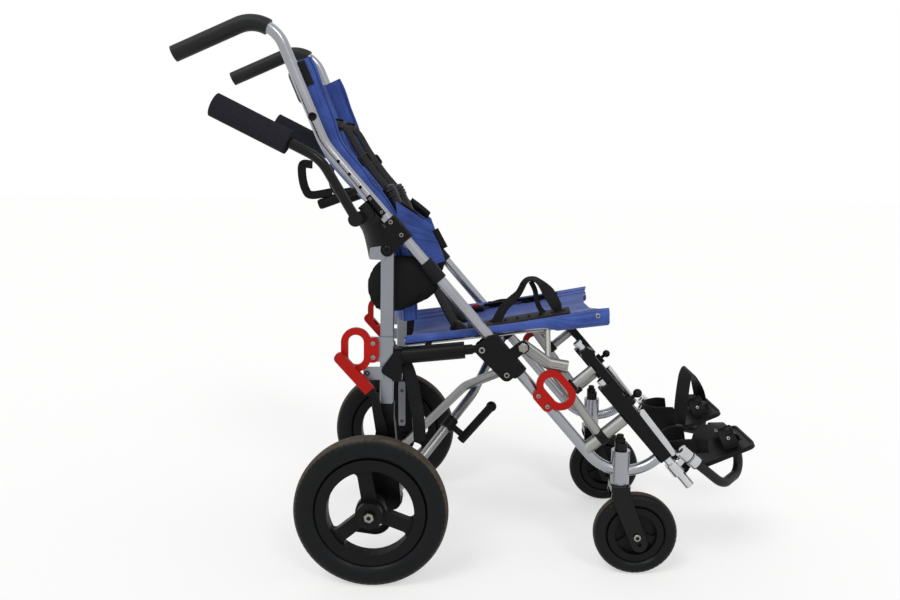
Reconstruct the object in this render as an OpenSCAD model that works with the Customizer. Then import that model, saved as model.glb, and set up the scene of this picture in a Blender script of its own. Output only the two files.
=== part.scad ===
// Folding special needs buggy: two bent side tubes, swinging rear legs, crossed braces, sling seat,
// swivel casters, telescoping legrests and hinged footplates.
// Lengths in millimetres, angles in degrees. X points forward, Z up, right side at negative Y.
// Side pieces are drawn in the plane of the right side tube, with x counted from the rear axle.

/* [Frame layout] */
// Half the distance between the planes of the two side tubes
side_y = 190; // [170:1:220]
// From the middle of the overall length back to the rear axle
axle_back = 196.2; // [150:0.1:250]
// From the rear axle forward to the toe corner of a side tube
toe_x = 495; // [480:1:520]
// Height of the toe corner
toe_z = 179; // [172:1:195]
// Slope of the long lower run of a side tube
lean_angle = 49.2; // [47:0.1:51]
// Length of the long run, corner to corner
lean_len = 898; // [880:1:940]
// Slope of the upper run behind the shoulders
back_angle = 67.8; // [62:0.1:74]
// Length of the upper run, corner to corner
back_len = 265; // [240:1:300]
// Fall of the push handle from its corner to its tip
handle_drop = 23; // [15:1:30]
// Length of the push handle from its corner to its tip
handle_len = 195; // [175:1:220]
// Outer diameter of a side tube
tube_d = 22.2; // [20:0.1:24]
// Wall of a side tube
tube_wall = 2; // [1.5:0.1:3]
// Bend radius at the toe
toe_bend_r = 93; // [85:1:95]
// Bend radius at the shoulders
back_bend_r = 120; // [80:1:160]
// Bend radius of the push handle
handle_bend_r = 65; // [50:1:75]

/* [Push handles] */
// Outer diameter of the rubber push grip
push_grip_d = 31; // [28:1:36]
// Share of the handle bend that the rubber covers, in degrees
push_grip_turn = 52; // [30:1:70]
// Tube diameter of the lower handle
low_tube_d = 19; // [16:1:22]
// Diameter of the foam grip on the lower handle
low_grip_d = 46; // [38:1:50]
// Length of the foam grip
low_grip_len = 148; // [120:1:160]
// From the side tube out to the plane of the lower handle
low_handle_out = 51; // [46:1:60]

/* [Rear legs] */
// Station of the leg pivot on the side tube
leg_pivot_at = 669; // [650:1:690]
// Leg pivot below the side tube's axis
leg_pivot_drop = 39; // [37:1:45]
// Backward slant of the leg
leg_lean = 0.7; // [0:0.1:2]
// Height of the lower end of the leg tube
leg_foot_z = 352; // [335:1:370]
// Depth of the leg tube, fore and aft
leg_w = 26; // [24:1:30]
// Thickness of the leg tube, side to side
leg_t = 22; // [20:1:24]
// Wall of the leg tube
leg_wall = 2; // [1.5:0.1:3]

/* [Rear wheels] */
// Rear tyre diameter
wheel_d = 305; // [290:1:320]
// Rear tyre width
tyre_w = 40; // [34:1:44]
// Height of the tyre from rim to tread
tyre_h = 44.5; // [38:0.5:50]
// From the side tube's plane out to the wheel's middle plane
wheel_out = 70; // [66:1:80]
// Hub length
hub_w = 60; // [52:1:64]
// Axle diameter
axle_d = 12; // [10:0.5:14]
// Number of wheel spokes
spokes = 3; // [3:1:5]

/* [Casters] */
// Caster tyre diameter
caster_d = 170; // [150:1:178]
// Caster tyre width
caster_w = 34; // [28:1:40]
// Height of the caster tyre from rim to tread
caster_tyre_h = 28; // [22:0.5:34]
// Caster axle ahead of the swivel axis
caster_trail = 35; // [25:1:45]
// Swivel stem diameter
stem_d = 12; // [10:1:16]
// Diameter of the stem housing on the side tube
housing_d = 37; // [32:1:42]
// Height of the stem housing
housing_h = 70; // [60:1:80]

/* [Seat] */
// Half the distance between the seat tubes
seat_y = 160; // [150:1:163]
// Diameter of the seat tubes
seat_tube_d = 19; // [16:1:20]
// Rise of the seat towards the front
seat_tilt = 7.2; // [5:0.1:10]
// Length of the seat tubes
seat_len = 412; // [380:1:440]
// Sag of the seat cloth between its tubes
seat_sag = 34; // [20:1:45]
// Sag of the back cloth behind its edges
back_sag = 32; // [15:1:45]
// Cloth thickness with its lining
cloth_t = 2.4; // [2:0.1:4]

/* [Legrests] */
// Legrest tube's axis in front of the side tube's axis
hanger_out = 114; // [113:1:122]
// Depth of the legrest channel
hanger_h = 31; // [29:1:33]
// Diameter of the sliding legrest tube
slide_d = 20; // [18:0.5:21]
// Width of a footplate
plate_w = 128; // [110:1:129]
// Length of a footplate
plate_len = 128; // [110:1:135]
// Upward tilt of the footplate towards the toes
plate_tilt = 23.8; // [18:0.1:28]

/* [Tie-down rings] */
// Thickness of a tie-down ring
ring_t = 8; // [6:1:10]
// Width of the ring's slot
ring_slot_w = 31; // [26:1:34]
// Length of the ring's slot
ring_slot_len = 60; // [50:1:66]
// Width of the ring's rim
ring_rim = 14; // [11:1:16]

/* [Braces] */
// Diameter of the crossed brace tubes
brace_d = 20; // [18:1:22]
// Share of the brace's plane length at which the braces cross
cross_share = 0.322; // [0.3:0.01:0.36]
// Distance between the axes of the two braces where they cross
brace_gap = 25; // [24:1:30]

/* [Fits] */
// Radial clearance of a running fit
run_gap = 0.05; // [0.02:0.01:0.1]
// Radial clearance of a fixed sleeve on its tube
fit_gap = 0.15; // [0.1:0.05:0.3]
// Air between pieces that move past each other
air_gap = 0.5; // [0.4:0.1:1]

/* [Hidden] */
$fn = 64;
overrun = 2;

// Points and directions of the side tube, as [x, z] in its plane
function polar(a, r) = [r * cos(a), r * sin(a)];
function unit(v) = v / norm(v);
function in_plane(p, y) = [p[0], y, p[1]];
toe = [toe_x, toe_z];
toe_angle = 90 - lean_angle;
toe_len = hanger_out - hanger_h / 2 - fit_gap;
lean_up = polar(180 - lean_angle, 1);
lean_below = polar(270 - lean_angle, 1);
function lean_point(s, drop) = toe + s * lean_up + drop * lean_below;
shoulder = lean_point(lean_len, 0);
handle_corner = shoulder + polar(180 - back_angle, back_len);
handle_tip = handle_corner + polar(180 + handle_drop, handle_len);
toe_end = toe + polar(toe_angle, toe_len);
side_path = [for (p = [handle_tip, handle_corner, shoulder, toe, toe_end]) in_plane(p, 0)];
side_bends = [0, handle_bend_r, back_bend_r, toe_bend_r, 0];
toe_turn = lean_angle + toe_angle;
toe_start = lean_point(toe_bend_r * tan(toe_turn / 2), 0);
toe_centre = toe_start - toe_bend_r * lean_below;

// Rear leg and axle points
wheel_r = wheel_d / 2;
rim_d = wheel_d - 2 * tyre_h;
caster_rim_d = caster_d - 2 * caster_tyre_h;
leg_pivot = lean_point(leg_pivot_at, leg_pivot_drop);
leg_len = (leg_pivot[1] - leg_foot_z) / cos(leg_lean);
function leg_point(x, down) = leg_pivot + x * polar(-leg_lean, 1) + down * polar(270 - leg_lean, 1);
leg_foot = leg_point(0, leg_len);
axle = [0, wheel_r];

// Places in the plane of the side tube, for pieces shared by several nodes
module at_side() {
  translate([-axle_back, -side_y, 0]) children();
}
module on_tube(s, drop) {
  p = lean_point(s, drop);
  translate([p[0], 0, p[1]]) rotate([0, 180 + lean_angle, 0]) children();
}
module on_leg() {
  translate([leg_pivot[0], 0, leg_pivot[1]]) rotate([0, leg_lean, 0]) children();
}
module other_side() {
  mirror([0, 1, 0]) children();
}

// A flat profile in x and z, of thickness t, with its middle at y
module plate(y, t) {
  translate([0, y + t / 2, 0]) rotate([90, 0, 0]) linear_extrude(t) children();
}
// A profile in y and z, carried along x from x0 to x1
module along_x(x0, x1) {
  translate([x0, 0, 0]) rotate([90, 0, 90]) linear_extrude(x1 - x0) children();
}
// A round pin across the plane at p, from y0 to y1
module pin(p, y0, y1, d) {
  translate([p[0], y1, p[1]]) rotate([90, 0, 0]) cylinder(h = y1 - y0, d = d);
}
// A straight round bar from a to b
module bar(a, b, d) {
  v = b - a;
  translate(a) rotate([0, acos(v[2] / norm(v)), atan2(v[1], v[0])]) cylinder(h = norm(v), d = d);
}
// The flat outline of a strap round two circles
module link(a, ra, b, rb) {
  run = norm(b - a);
  head = atan2(b[1] - a[1], b[0] - a[0]);
  open = acos((ra - rb) / run);
  translate(a) circle(r = ra);
  translate(b) circle(r = rb);
  polygon([a + polar(head + open, ra), a + polar(head - open, ra),
    b + polar(head - open, rb), b + polar(head + open, rb)]);
}
module rounded(w, h, r) {
  square([w - 2 * r, h], center = true);
  square([w, h - 2 * r], center = true);
  for (i = [-1, 1], j = [-1, 1]) translate([i * (w / 2 - r), j * (h / 2 - r)]) circle(r = r);
}
module tube_ring(d, wall) {
  difference() {
    circle(d = d);
    if (wall > 0) circle(d = d - 2 * wall);
  }
}

// A section carried along straight runs, with true arcs of radius r at the corners.
// A bend is a hair fuller than the runs, which lap into it, so that the tube is one solid.
bend_share = 1.004;
bend_lap = 0.5;
function turn_at(p, i) = acos(unit(p[i] - p[i - 1]) * unit(p[i + 1] - p[i]));
function trim_at(p, r, i) = i == 0 || i == len(p) - 1 ? 0 : r[i] * tan(turn_at(p, i) / 2);
module straight_run(a, b) {
  v = b - a;
  translate(a) rotate([0, acos(v[2] / norm(v)), atan2(v[1], v[0])]) linear_extrude(norm(v)) children();
}
module bend_run(a, corner, b, r, angle) {
  ahead = unit(corner - a);
  normal = unit(cross(ahead, unit(b - corner)));
  out = cross(ahead, normal);
  centre = corner - r * tan(acos(ahead * unit(b - corner)) / 2) * ahead - r * out;
  multmatrix([[out[0], ahead[0], normal[0], centre[0]], [out[1], ahead[1], normal[1], centre[1]],
    [out[2], ahead[2], normal[2], centre[2]], [0, 0, 0, 1]])
    rotate_extrude(angle = angle) translate([r, 0]) scale(bend_share) children();
}
module sweep(p, r) {
  for (i = [0 : len(p) - 2]) {
    ahead = unit(p[i + 1] - p[i]);
    lap = [i == 0 ? 0 : bend_lap, i == len(p) - 2 ? 0 : bend_lap];
    straight_run(p[i] + (trim_at(p, r, i) - lap[0]) * ahead,
      p[i + 1] - (trim_at(p, r, i + 1) - lap[1]) * ahead) children();
  }
  for (i = [1 : len(p) - 2]) bend_run(p[i - 1], p[i], p[i + 1], r[i], turn_at(p, i)) children();
}

// A closed skin between two grids of points with the same rows and columns
module skin(top, under) {
  rows = len(top);
  cols = len(top[0]);
  n = rows * cols;
  points = concat([for (row = top) each row], [for (row = under) each row]);
  function at(i, j) = i * cols + j;
  rim = concat([for (j = [0 : cols - 1]) at(0, j)], [for (i = [1 : rows - 1]) at(i, cols - 1)],
    [for (j = [cols - 2 : -1 : 0]) at(rows - 1, j)], [for (i = [rows - 2 : -1 : 1]) at(i, 0)]);
  faces = concat(
    [for (i = [0 : rows - 2], j = [0 : cols - 2]) each
      [[at(i, j), at(i, j + 1), at(i + 1, j + 1)], [at(i, j), at(i + 1, j + 1), at(i + 1, j)]]],
    [for (i = [0 : rows - 2], j = [0 : cols - 2]) each
      [[n + at(i, j), n + at(i + 1, j + 1), n + at(i, j + 1)],
        [n + at(i, j), n + at(i + 1, j), n + at(i + 1, j + 1)]]],
    [for (k = [0 : len(rim) - 1]) let (a = rim[k], b = rim[(k + 1) % len(rim)]) each
      [[a, n + a, n + b], [a, n + b, b]]]);
  polyhedron(points, faces);
}
// Unit normals of a grid, from its neighbouring rows and columns
function grid_normal(g, i, j) = let (
    down = g[min(i + 1, len(g) - 1)][j] - g[max(i - 1, 0)][j],
    along = g[i][min(j + 1, len(g[0]) - 1)] - g[i][max(j - 1, 0)])
  unit(cross(along, down));
function grid_offset(g, t) =
  [for (i = [0 : len(g) - 1]) [for (j = [0 : len(g[0]) - 1]) g[i][j] + t * grid_normal(g, i, j)]];
module cloth(g, t) {
  skin(grid_offset(g, t / 2), grid_offset(g, -t / 2));
}

// Side tube: one bent aluminium tube with the caster stem housing welded on at the toe
stem_back = 8;
stem_x = toe_centre[0] - stem_back;
housing_sink = 27;
housing_z = toe_centre[1] - toe_bend_r - housing_sink;
hole_d = 6.5;
hole_below_top = 105;
hole_first = lean_len - hole_below_top;
hole_pitch = 32;
hole_count = 3;
module side_tube() {
  difference() {
    union() {
      sweep(side_path, side_bends) tube_ring(tube_d, tube_wall);
      translate([stem_x, 0, housing_z]) cylinder(h = housing_h, d = housing_d);
    }
    translate([stem_x, 0, housing_z - overrun])
      cylinder(h = housing_h + 2 * overrun, d = stem_d + 2 * run_gap);
    for (k = [0 : hole_count - 1])
      on_tube(hole_first + k * hole_pitch, 0) pin([0, 0], -tube_d, tube_d, hole_d);
  }
}
module right_main_tube() color("silver") at_side() side_tube();
module left_main_tube() other_side() right_main_tube();

// Push grip: a rubber sleeve over the handle end and into its bend, closed at the tip
grip_cap = 5;
module push_grip_body() {
  wall = (push_grip_d - tube_d) / 2 - fit_gap;
  ahead = unit(side_path[1] - side_path[0]);
  cap = side_path[0] - fit_gap * ahead;
  bend_at = trim_at(side_path, side_bends, 1) - bend_lap;
  straight_run(cap - grip_cap / 2 * ahead, side_path[1] - bend_at * ahead) tube_ring(push_grip_d, wall);
  bend_run(side_path[0], side_path[1], side_path[2], handle_bend_r, push_grip_turn)
    tube_ring(push_grip_d, wall);
  straight_run(cap - grip_cap * ahead, cap) circle(d = push_grip_d);
}
module right_push_grip() color("#1a1a1a") at_side() push_grip_body();
module left_push_grip() other_side() right_push_grip();

// Sleeves on the side tube share one wall, and their forked cheeks take the leg and the seat rail
sleeve_wall = 5;
sleeve_d = tube_d + 2 * sleeve_wall;
cheek_t = 5;
cheek_y = leg_t / 2 + air_gap + cheek_t / 2;
cheek_face = cheek_y + cheek_t / 2;
cheek_r = 13;
pivot_d = 10;
module sleeve(s0, s1, d) {
  on_tube(s0, 0) rotate([0, 90, 0]) cylinder(h = s1 - s0, d = d);
}

// Upper bracket: sleeve and two cheeks that carry the rear leg's pivot pin
upper_at = 685;
upper_len = 54;
upper_spread = 12;
module upper_bracket_body() {
  difference() {
    union() {
      sleeve(upper_at - upper_len / 2, upper_at + upper_len / 2, sleeve_d);
      on_tube(0, 0) for (side = [-1, 1]) plate(side * cheek_y, cheek_t) {
        link([upper_at - upper_spread, 0], cheek_r, [leg_pivot_at, leg_pivot_drop], cheek_r);
        link([upper_at + upper_spread, 0], cheek_r, [leg_pivot_at, leg_pivot_drop], cheek_r);
        link([upper_at - upper_spread, 0], cheek_r, [upper_at + upper_spread, 0], cheek_r);
      }
      pin(leg_pivot, -cheek_face, cheek_face, pivot_d);
    }
    sleeve(upper_at - upper_len, upper_at + upper_len, tube_d + 2 * fit_gap);
  }
}
module right_upper_bracket() color("#222222") at_side() upper_bracket_body();
module left_upper_bracket() other_side() right_upper_bracket();

// Front bracket: sleeve, cheeks for the seat rail, a ball socket for the brace and a knobbed lug
front_at = 360;
front_len = 96;
rail_at = 400;
rail_drop = 26;
brace_at = 330;
brace_drop = 21;
rail_pin_d = 8;
ball_d = 24;
socket_d = 33;
ball_stand_share = 0.56;
ball_y = cheek_face + ball_d * ball_stand_share;
socket_gap = 0.3;
socket_lip = 4;
lug_at = 354;
lug_out = 40;
lug_r = 11;
lug_root = 12;
knob_d = 24;
knob_h = 12;
brace_head = lean_point(brace_at, brace_drop);
rail_head = lean_point(rail_at, rail_drop);
module front_bracket_body() {
  difference() {
    union() {
      sleeve(front_at - front_len / 2, front_at + front_len / 2, sleeve_d);
      on_tube(0, 0) {
        for (side = [-1, 1]) plate(side * cheek_y, cheek_t) {
          link([rail_at, rail_drop], cheek_r, [brace_at, brace_drop], cheek_r);
          link([rail_at, 0], cheek_r, [brace_at, 0], cheek_r);
          translate([brace_at - cheek_r, 0]) square([rail_at - brace_at + 2 * cheek_r, brace_drop]);
        }
        plate(-cheek_y, cheek_t) link([lug_at, -lug_root], lug_root, [lug_at, -lug_out], lug_r);
        pin([lug_at, -lug_out], -cheek_face - knob_h, -cheek_face, knob_d);
        pin([brace_at, brace_drop], cheek_face - cheek_t, ball_y - socket_lip, socket_d);
      }
      pin(rail_head, -cheek_face, cheek_face, rail_pin_d);
    }
    sleeve(front_at - front_len, front_at + front_len, tube_d + 2 * fit_gap);
    translate(in_plane(brace_head, ball_y)) sphere(d = ball_d + 2 * socket_gap);
  }
}
module right_front_bracket() color("#222222") at_side() front_bracket_body();
module left_front_bracket() other_side() right_front_bracket();

// Lower handle: a bent tube held outside the side tube by a saddle under it
low_clamp_at = 744;
low_clamp_len = 44;
low_clamp_t = 30;
low_clamp_from = 9;
low_clamp_h = 20;
low_end_back = 35;
low_end_down = 22;
low_rise = 129;
low_rise_angle = 59.6;
low_reach = 213;
low_reach_angle = 26.4;
low_bend_r = 80;
low_wall = 2;
low_web_t = 18;
low_web_out = 17;
low_web_drop = 22;
low_web_r = 12;
low_boss_d = 27;
low_clamp = lean_point(low_clamp_at, 0);
low_end = low_clamp - [low_end_back, low_end_down];
low_corner = low_end + polar(180 - low_rise_angle, low_rise);
low_tip = low_corner + polar(180 - low_reach_angle, low_reach);
low_path = [for (p = [low_tip, low_corner, low_end]) in_plane(p, -low_handle_out)];
low_seat = lean_point(low_clamp_at, low_web_drop);
module lower_handle_body() {
  difference() {
    union() {
      sweep(low_path, [0, low_bend_r, 0]) tube_ring(low_tube_d, low_wall);
      on_tube(low_clamp_at, 0) translate([-low_clamp_len / 2, -low_clamp_t / 2, low_clamp_from])
        cube([low_clamp_len, low_clamp_t, low_clamp_h]);
      plate(-low_web_out, low_web_t) link(low_seat, low_web_r, low_end, low_web_r);
      pin(low_end, -low_handle_out - low_boss_d / 2, -low_web_out, low_boss_d);
    }
    sleeve(low_clamp_at - low_clamp_len, low_clamp_at + low_clamp_len, tube_d + 2 * fit_gap);
  }
}
module right_lower_handle() color("#1c1c1c") at_side() lower_handle_body();
module left_lower_handle() other_side() right_lower_handle();

// Foam grip of the lower handle, with a closed end
module lower_grip_body() {
  ahead = unit(low_path[1] - low_path[0]);
  wall = (low_grip_d - low_tube_d) / 2 - fit_gap;
  cap = low_path[0] - fit_gap * ahead;
  straight_run(cap - grip_cap / 2 * ahead, low_path[0] + low_grip_len * ahead) tube_ring(low_grip_d, wall);
  straight_run(cap - grip_cap * ahead, cap) circle(d = low_grip_d);
}
module right_lower_grip() color("#151515") at_side() lower_grip_body();
module left_lower_grip() other_side() right_lower_grip();

// Tie-down ring: a thick slotted plate, bolted by two screws along its base
ring_bolt_pitch = 28;
ring_bolt_d = 6.4;
ring_base_r = 11;
ring_rise = 34;
module tie_ring_outline() {
  half = (ring_slot_len - ring_slot_w) / 2;
  bolt = ring_bolt_pitch / 2;
  difference() {
    union() {
      link([-half, ring_rise], ring_slot_w / 2 + ring_rim, [half, ring_rise], ring_slot_w / 2 + ring_rim);
      link([-bolt, 0], ring_base_r, [bolt, 0], ring_base_r);
      translate([-bolt - ring_base_r, 0]) square([2 * (bolt + ring_base_r), ring_rise / 2]);
    }
    link([-half, ring_rise], ring_slot_w / 2, [half, ring_rise], ring_slot_w / 2);
    for (side = [-1, 1]) translate([side * bolt, 0]) circle(d = ring_bolt_d);
  }
}
front_ring_at = 244;
module right_front_tie_ring() color("red") at_side() on_tube(front_ring_at, 0)
  plate(-tube_d / 2 - fit_gap - ring_t / 2, ring_t) mirror([0, 1]) tie_ring_outline();
module left_front_tie_ring() other_side() right_front_tie_ring();

// Rear tie-down ring: the same plate on a backing plate behind the leg
rear_ring_down = 197;
ring_set_back = 25;
backing_t = 5;
module right_rear_tie_ring() color("red") at_side() on_leg() translate([-ring_set_back, 0, -rear_ring_down])
  plate(-leg_t / 2 - backing_t - fit_gap - ring_t / 2, ring_t) rotate(90) tie_ring_outline();
module left_rear_tie_ring() other_side() right_rear_tie_ring();

// Rear leg: a rectangular tube with a rounded pivot end and the backing plate of the rear ring
leg_edge_r = 3;
module rear_leg_body() {
  inner_w = leg_w - 2 * leg_wall;
  inner_t = leg_t - 2 * leg_wall;
  backing_half = ring_bolt_pitch / 2 + ring_base_r;
  on_leg() difference() {
    union() {
      translate([0, 0, -leg_len]) linear_extrude(leg_len) rounded(leg_w, leg_t, leg_edge_r);
      pin([0, 0], -leg_t / 2, leg_t / 2, leg_w);
      translate([0, 0, -rear_ring_down]) plate(-leg_t / 2 - backing_t / 2, backing_t)
        translate([-ring_set_back - ring_base_r, -backing_half])
          square([ring_set_back + ring_base_r + leg_w / 2, 2 * backing_half]);
    }
    translate([-inner_w / 2, -inner_t / 2, -leg_len - overrun])
      cube([inner_w, inner_t, leg_len + overrun - leg_w]);
    pin([0, 0], -leg_t, leg_t, pivot_d + 2 * run_gap);
    translate([-ring_set_back, 0, -rear_ring_down]) for (side = [-1, 1])
      pin([0, side * ring_bolt_pitch / 2], -leg_t, 0, ring_bolt_d);
  }
}
module right_rear_leg() color("silver") at_side() rear_leg_body();
module left_rear_leg() other_side() right_rear_leg();

// Axle bracket: the cast foot of the leg with stub axle, brake pin, brace cup and tipping lever
foot_t = 26;
foot_neck = 40;
foot_top_w = 34;
neck_w = 31;
neck_t = 24;
axle_boss_r = 22;
brace_foot_ahead = 36;
brace_foot_down = 5;
brace_foot_r = 18;
cup_d = 40;
spigot_len = 30;
spacer_d = 22;
axle_nut_d = 24;
axle_nut_w = 7;
brake_pivot_ahead = 18;
brake_pivot_up = 148;
brake_pin_d = 8;
brake_boss_d = 16;
brake_y = 34;
lever_t = 8;
cup_gap = 4.2;
cup_lip = 7;
tip_tube_d = 16;
tip_bend_r = 28;
tip_root_ahead = 27;
tip_drop = 78;
tip_reach_back = 46;
tip_rise = 10;
brace_foot = [brace_foot_ahead, wheel_r - brace_foot_down];
brake_pivot = [brake_pivot_ahead, wheel_r + brake_pivot_up];
tip_root = [tip_root_ahead, wheel_r];
tip_heel = tip_root - [0, tip_drop];
tip_toe = [-tip_reach_back, tip_heel[1] + tip_rise];
hub_inner = wheel_out - hub_w / 2;
hub_outer = wheel_out + hub_w / 2;
module axle_bracket_body() {
  neck = leg_point(0, leg_len + foot_neck);
  spigot_w = leg_w - 2 * leg_wall - 2 * fit_gap;
  spigot_t = leg_t - 2 * leg_wall - 2 * fit_gap;
  difference() {
    union() {
      plate(0, foot_t) {
        link(neck, foot_top_w / 2, axle, axle_boss_r);
        link(axle, axle_boss_r, brace_foot, brace_foot_r);
        link(neck, foot_top_w / 2, brace_foot, brace_foot_r);
      }
      on_leg() {
        translate([-neck_w / 2, -neck_t / 2, -leg_len - foot_neck]) cube([neck_w, neck_t, foot_neck]);
        translate([-spigot_w / 2, -spigot_t / 2, -leg_len - overrun])
          cube([spigot_w, spigot_t, spigot_len + overrun]);
      }
      pin(axle, -hub_outer - air_gap - axle_nut_w, 0, axle_d);
      pin(axle, -hub_inner + air_gap, 0, spacer_d);
      pin(axle, -hub_outer - air_gap - axle_nut_w, -hub_outer - air_gap, axle_nut_d);
      pin(brake_pivot, -brake_y - lever_t, 0, brake_pin_d);
      pin(brake_pivot, -brake_y + lever_t / 2 + air_gap, 0, brake_boss_d);
      pin(brace_foot, 0, ball_y - cup_lip, cup_d);
      sweep([for (p = [tip_root, tip_heel, tip_toe]) in_plane(p, 0)], [0, tip_bend_r, 0])
        circle(d = tip_tube_d);
    }
    translate(in_plane(brace_foot, ball_y)) sphere(d = ball_d + 2 * cup_gap);
  }
}
module right_axle_bracket() color("#1e1e1e") at_side() axle_bracket_body();
module left_axle_bracket() other_side() right_axle_bracket();

// Brake pedal: a flat lever on the bracket's pin with a thick pedal sleeve at its end
brake_knee_back = 14;
brake_knee_up = 74;
pedal_back = 67;
pedal_up = 75;
lever_root_r = 11;
pedal_w = 21;
pedal_t = 14;
pedal_clear_share = 0.14;
module brake_pedal_body() {
  knee = brake_pivot + [-brake_knee_back, brake_knee_up];
  tip = knee + [-pedal_back, pedal_up];
  difference() {
    union() {
      plate(-brake_y, lever_t) link(brake_pivot, lever_root_r, knee, lever_t);
      plate(-brake_y, pedal_t) link(knee + pedal_clear_share * (tip - knee), pedal_w / 2, tip, pedal_w / 2);
    }
    pin(brake_pivot, -brake_y - lever_t, -brake_y + lever_t, brake_pin_d + 2 * run_gap);
  }
}
module right_brake_pedal() color("red") at_side() brake_pedal_body();
module left_brake_pedal() other_side() right_brake_pedal();

// Rear tyre: a rounded tread with flat sidewalls
tyre_crown_r = 27;
module tyre_section(outer_r, inner_r, w, crown_r) {
  intersection() {
    translate([outer_r - crown_r, 0]) circle(r = crown_r);
    translate([inner_r, -w / 2]) square([outer_r - inner_r + overrun, w]);
  }
}
module on_wheel() {
  translate([0, -wheel_out, wheel_r]) rotate([90, 0, 0]) children();
}
module right_rear_tyre() color("#181818") at_side() on_wheel()
  rotate_extrude() tyre_section(wheel_r, rim_d / 2, tyre_w, tyre_crown_r);
module left_rear_tyre() other_side() right_rear_tyre();

// Rear rim: a moulded wheel with a ring, three wide spokes that flare at both ends and a hub
rim_w = 30;
rim_ring = 22;
rim_lip = 4;
hub_d = 52;
spoke_w = 27;
spoke_t = 18;
window_r = 9;
spoke_turn = 99;
hub_bore = axle_d + 2 * run_gap;
module wheel_windows(outer_r, hub_r, arm_w, round_r) {
  offset(r = round_r, $fn = 32) offset(delta = -round_r) difference() {
    circle(r = outer_r);
    circle(r = hub_r);
    for (k = [0 : spokes - 1]) rotate(spoke_turn + k * 360 / spokes)
      translate([0, -arm_w / 2]) square([2 * outer_r, arm_w]);
  }
}
module rear_rim_body() {
  seat_r = rim_d / 2 - fit_gap;
  difference() {
    union() {
      rotate_extrude() translate([seat_r - rim_ring, -rim_w / 2]) square([rim_ring, rim_w]);
      linear_extrude(spoke_t, center = true) difference() {
        circle(r = seat_r - rim_lip);
        wheel_windows(seat_r - rim_ring, hub_d / 2 + rim_lip, spoke_w, window_r);
      }
      cylinder(h = hub_w, d = hub_d, center = true);
    }
    cylinder(h = hub_w + overrun, d = hub_bore, center = true);
  }
}
module right_rear_rim() color("#202020") at_side() on_wheel() rear_rim_body();
module left_rear_rim() other_side() right_rear_rim();

// Caster fork: stem, crown and two slanting plates with the wheel's axle between them
crown_h = 12;
fork_t = 5;
fork_top_r = 19;
fork_end_r = 16;
fork_hole_step = 17;
fork_hole_d = 8;
caster_axle_d = 10;
caster_hub_w = 38;
stem_nut_d = 25;
stem_nut_h = 16;
caster_r = caster_d / 2;
caster_axle = [stem_x + caster_trail, caster_r];
fork_y = caster_hub_w / 2 + air_gap + fork_t / 2;
module caster_fork_body() {
  crown_top = housing_z - air_gap;
  crown = [stem_x, crown_top - crown_h / 2];
  down = unit(caster_axle - crown);
  spare = caster_axle + fork_hole_step * down;
  difference() {
    union() {
      for (side = [-1, 1]) plate(side * fork_y, fork_t)
        link(crown - [0, fork_top_r - crown_h / 2], fork_top_r, spare, fork_end_r);
      translate([stem_x, 0, crown_top - crown_h]) linear_extrude(crown_h)
        rounded(2 * fork_top_r, 2 * fork_y + fork_t, fork_t);
      translate([stem_x, 0, crown_top - crown_h]) cylinder(h = crown_h + housing_h + 2 * air_gap, d = stem_d);
      translate([stem_x, 0, housing_z + housing_h + air_gap]) cylinder(h = stem_nut_h, d = stem_nut_d);
      pin(caster_axle, -fork_y - fork_t, fork_y + fork_t, caster_axle_d);
    }
    pin(spare, -2 * fork_y, 2 * fork_y, fork_hole_d);
  }
}
module right_caster_fork() color("#1b1b1b") at_side() caster_fork_body();
module left_caster_fork() other_side() right_caster_fork();

// Caster tyre and its moulded hub with three windows
caster_crown_r = 21;
caster_rim_w = 26;
caster_ring = 14;
caster_web_t = 12;
caster_boss_d = 34;
caster_arm_w = 15;
caster_window_r = 6;
module on_caster() {
  translate([caster_axle[0], 0, caster_axle[1]]) rotate([90, 0, 0]) children();
}
module right_caster_tyre() color("#181818") at_side() on_caster()
  rotate_extrude() tyre_section(caster_r, caster_rim_d / 2, caster_w, caster_crown_r);
module left_caster_tyre() other_side() right_caster_tyre();
module caster_hub_body() {
  seat_r = caster_rim_d / 2 - fit_gap;
  difference() {
    union() {
      rotate_extrude() translate([seat_r - caster_ring, -caster_rim_w / 2]) square([caster_ring, caster_rim_w]);
      linear_extrude(caster_web_t, center = true) difference() {
        circle(r = seat_r - rim_lip);
        wheel_windows(seat_r - caster_ring, caster_boss_d / 2 + rim_lip, caster_arm_w, caster_window_r);
      }
      cylinder(h = caster_hub_w, d = caster_boss_d, center = true);
    }
    cylinder(h = caster_hub_w + overrun, d = caster_axle_d + 2 * run_gap, center = true);
  }
}
module right_caster_hub() color("#242424") at_side() on_caster() caster_hub_body();
module left_caster_hub() other_side() right_caster_hub();

// Seat tube: a straight tube in the seat's hem, held in two saddles
seat_rear_ahead = 31;
seat_rear_down = 190;
seat_wall = 1.5;
seat_rear = leg_pivot + [seat_rear_ahead, -seat_rear_down];
function seat_point(t) = seat_rear + polar(seat_tilt, t);
seat_in = side_y - seat_y;
module right_seat_tube() color("silver") at_side()
  straight_run(in_plane(seat_rear, seat_in), in_plane(seat_point(seat_len), seat_in))
    tube_ring(seat_tube_d, seat_wall);
module left_seat_tube() other_side() right_seat_tube();
module seat_saddle(from, t, d) {
  difference() {
    bar(from, in_plane(seat_point(t), seat_in), d);
    bar(in_plane(seat_rear, seat_in), in_plane(seat_point(seat_len), seat_in), seat_tube_d + 2 * fit_gap);
  }
}

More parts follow.
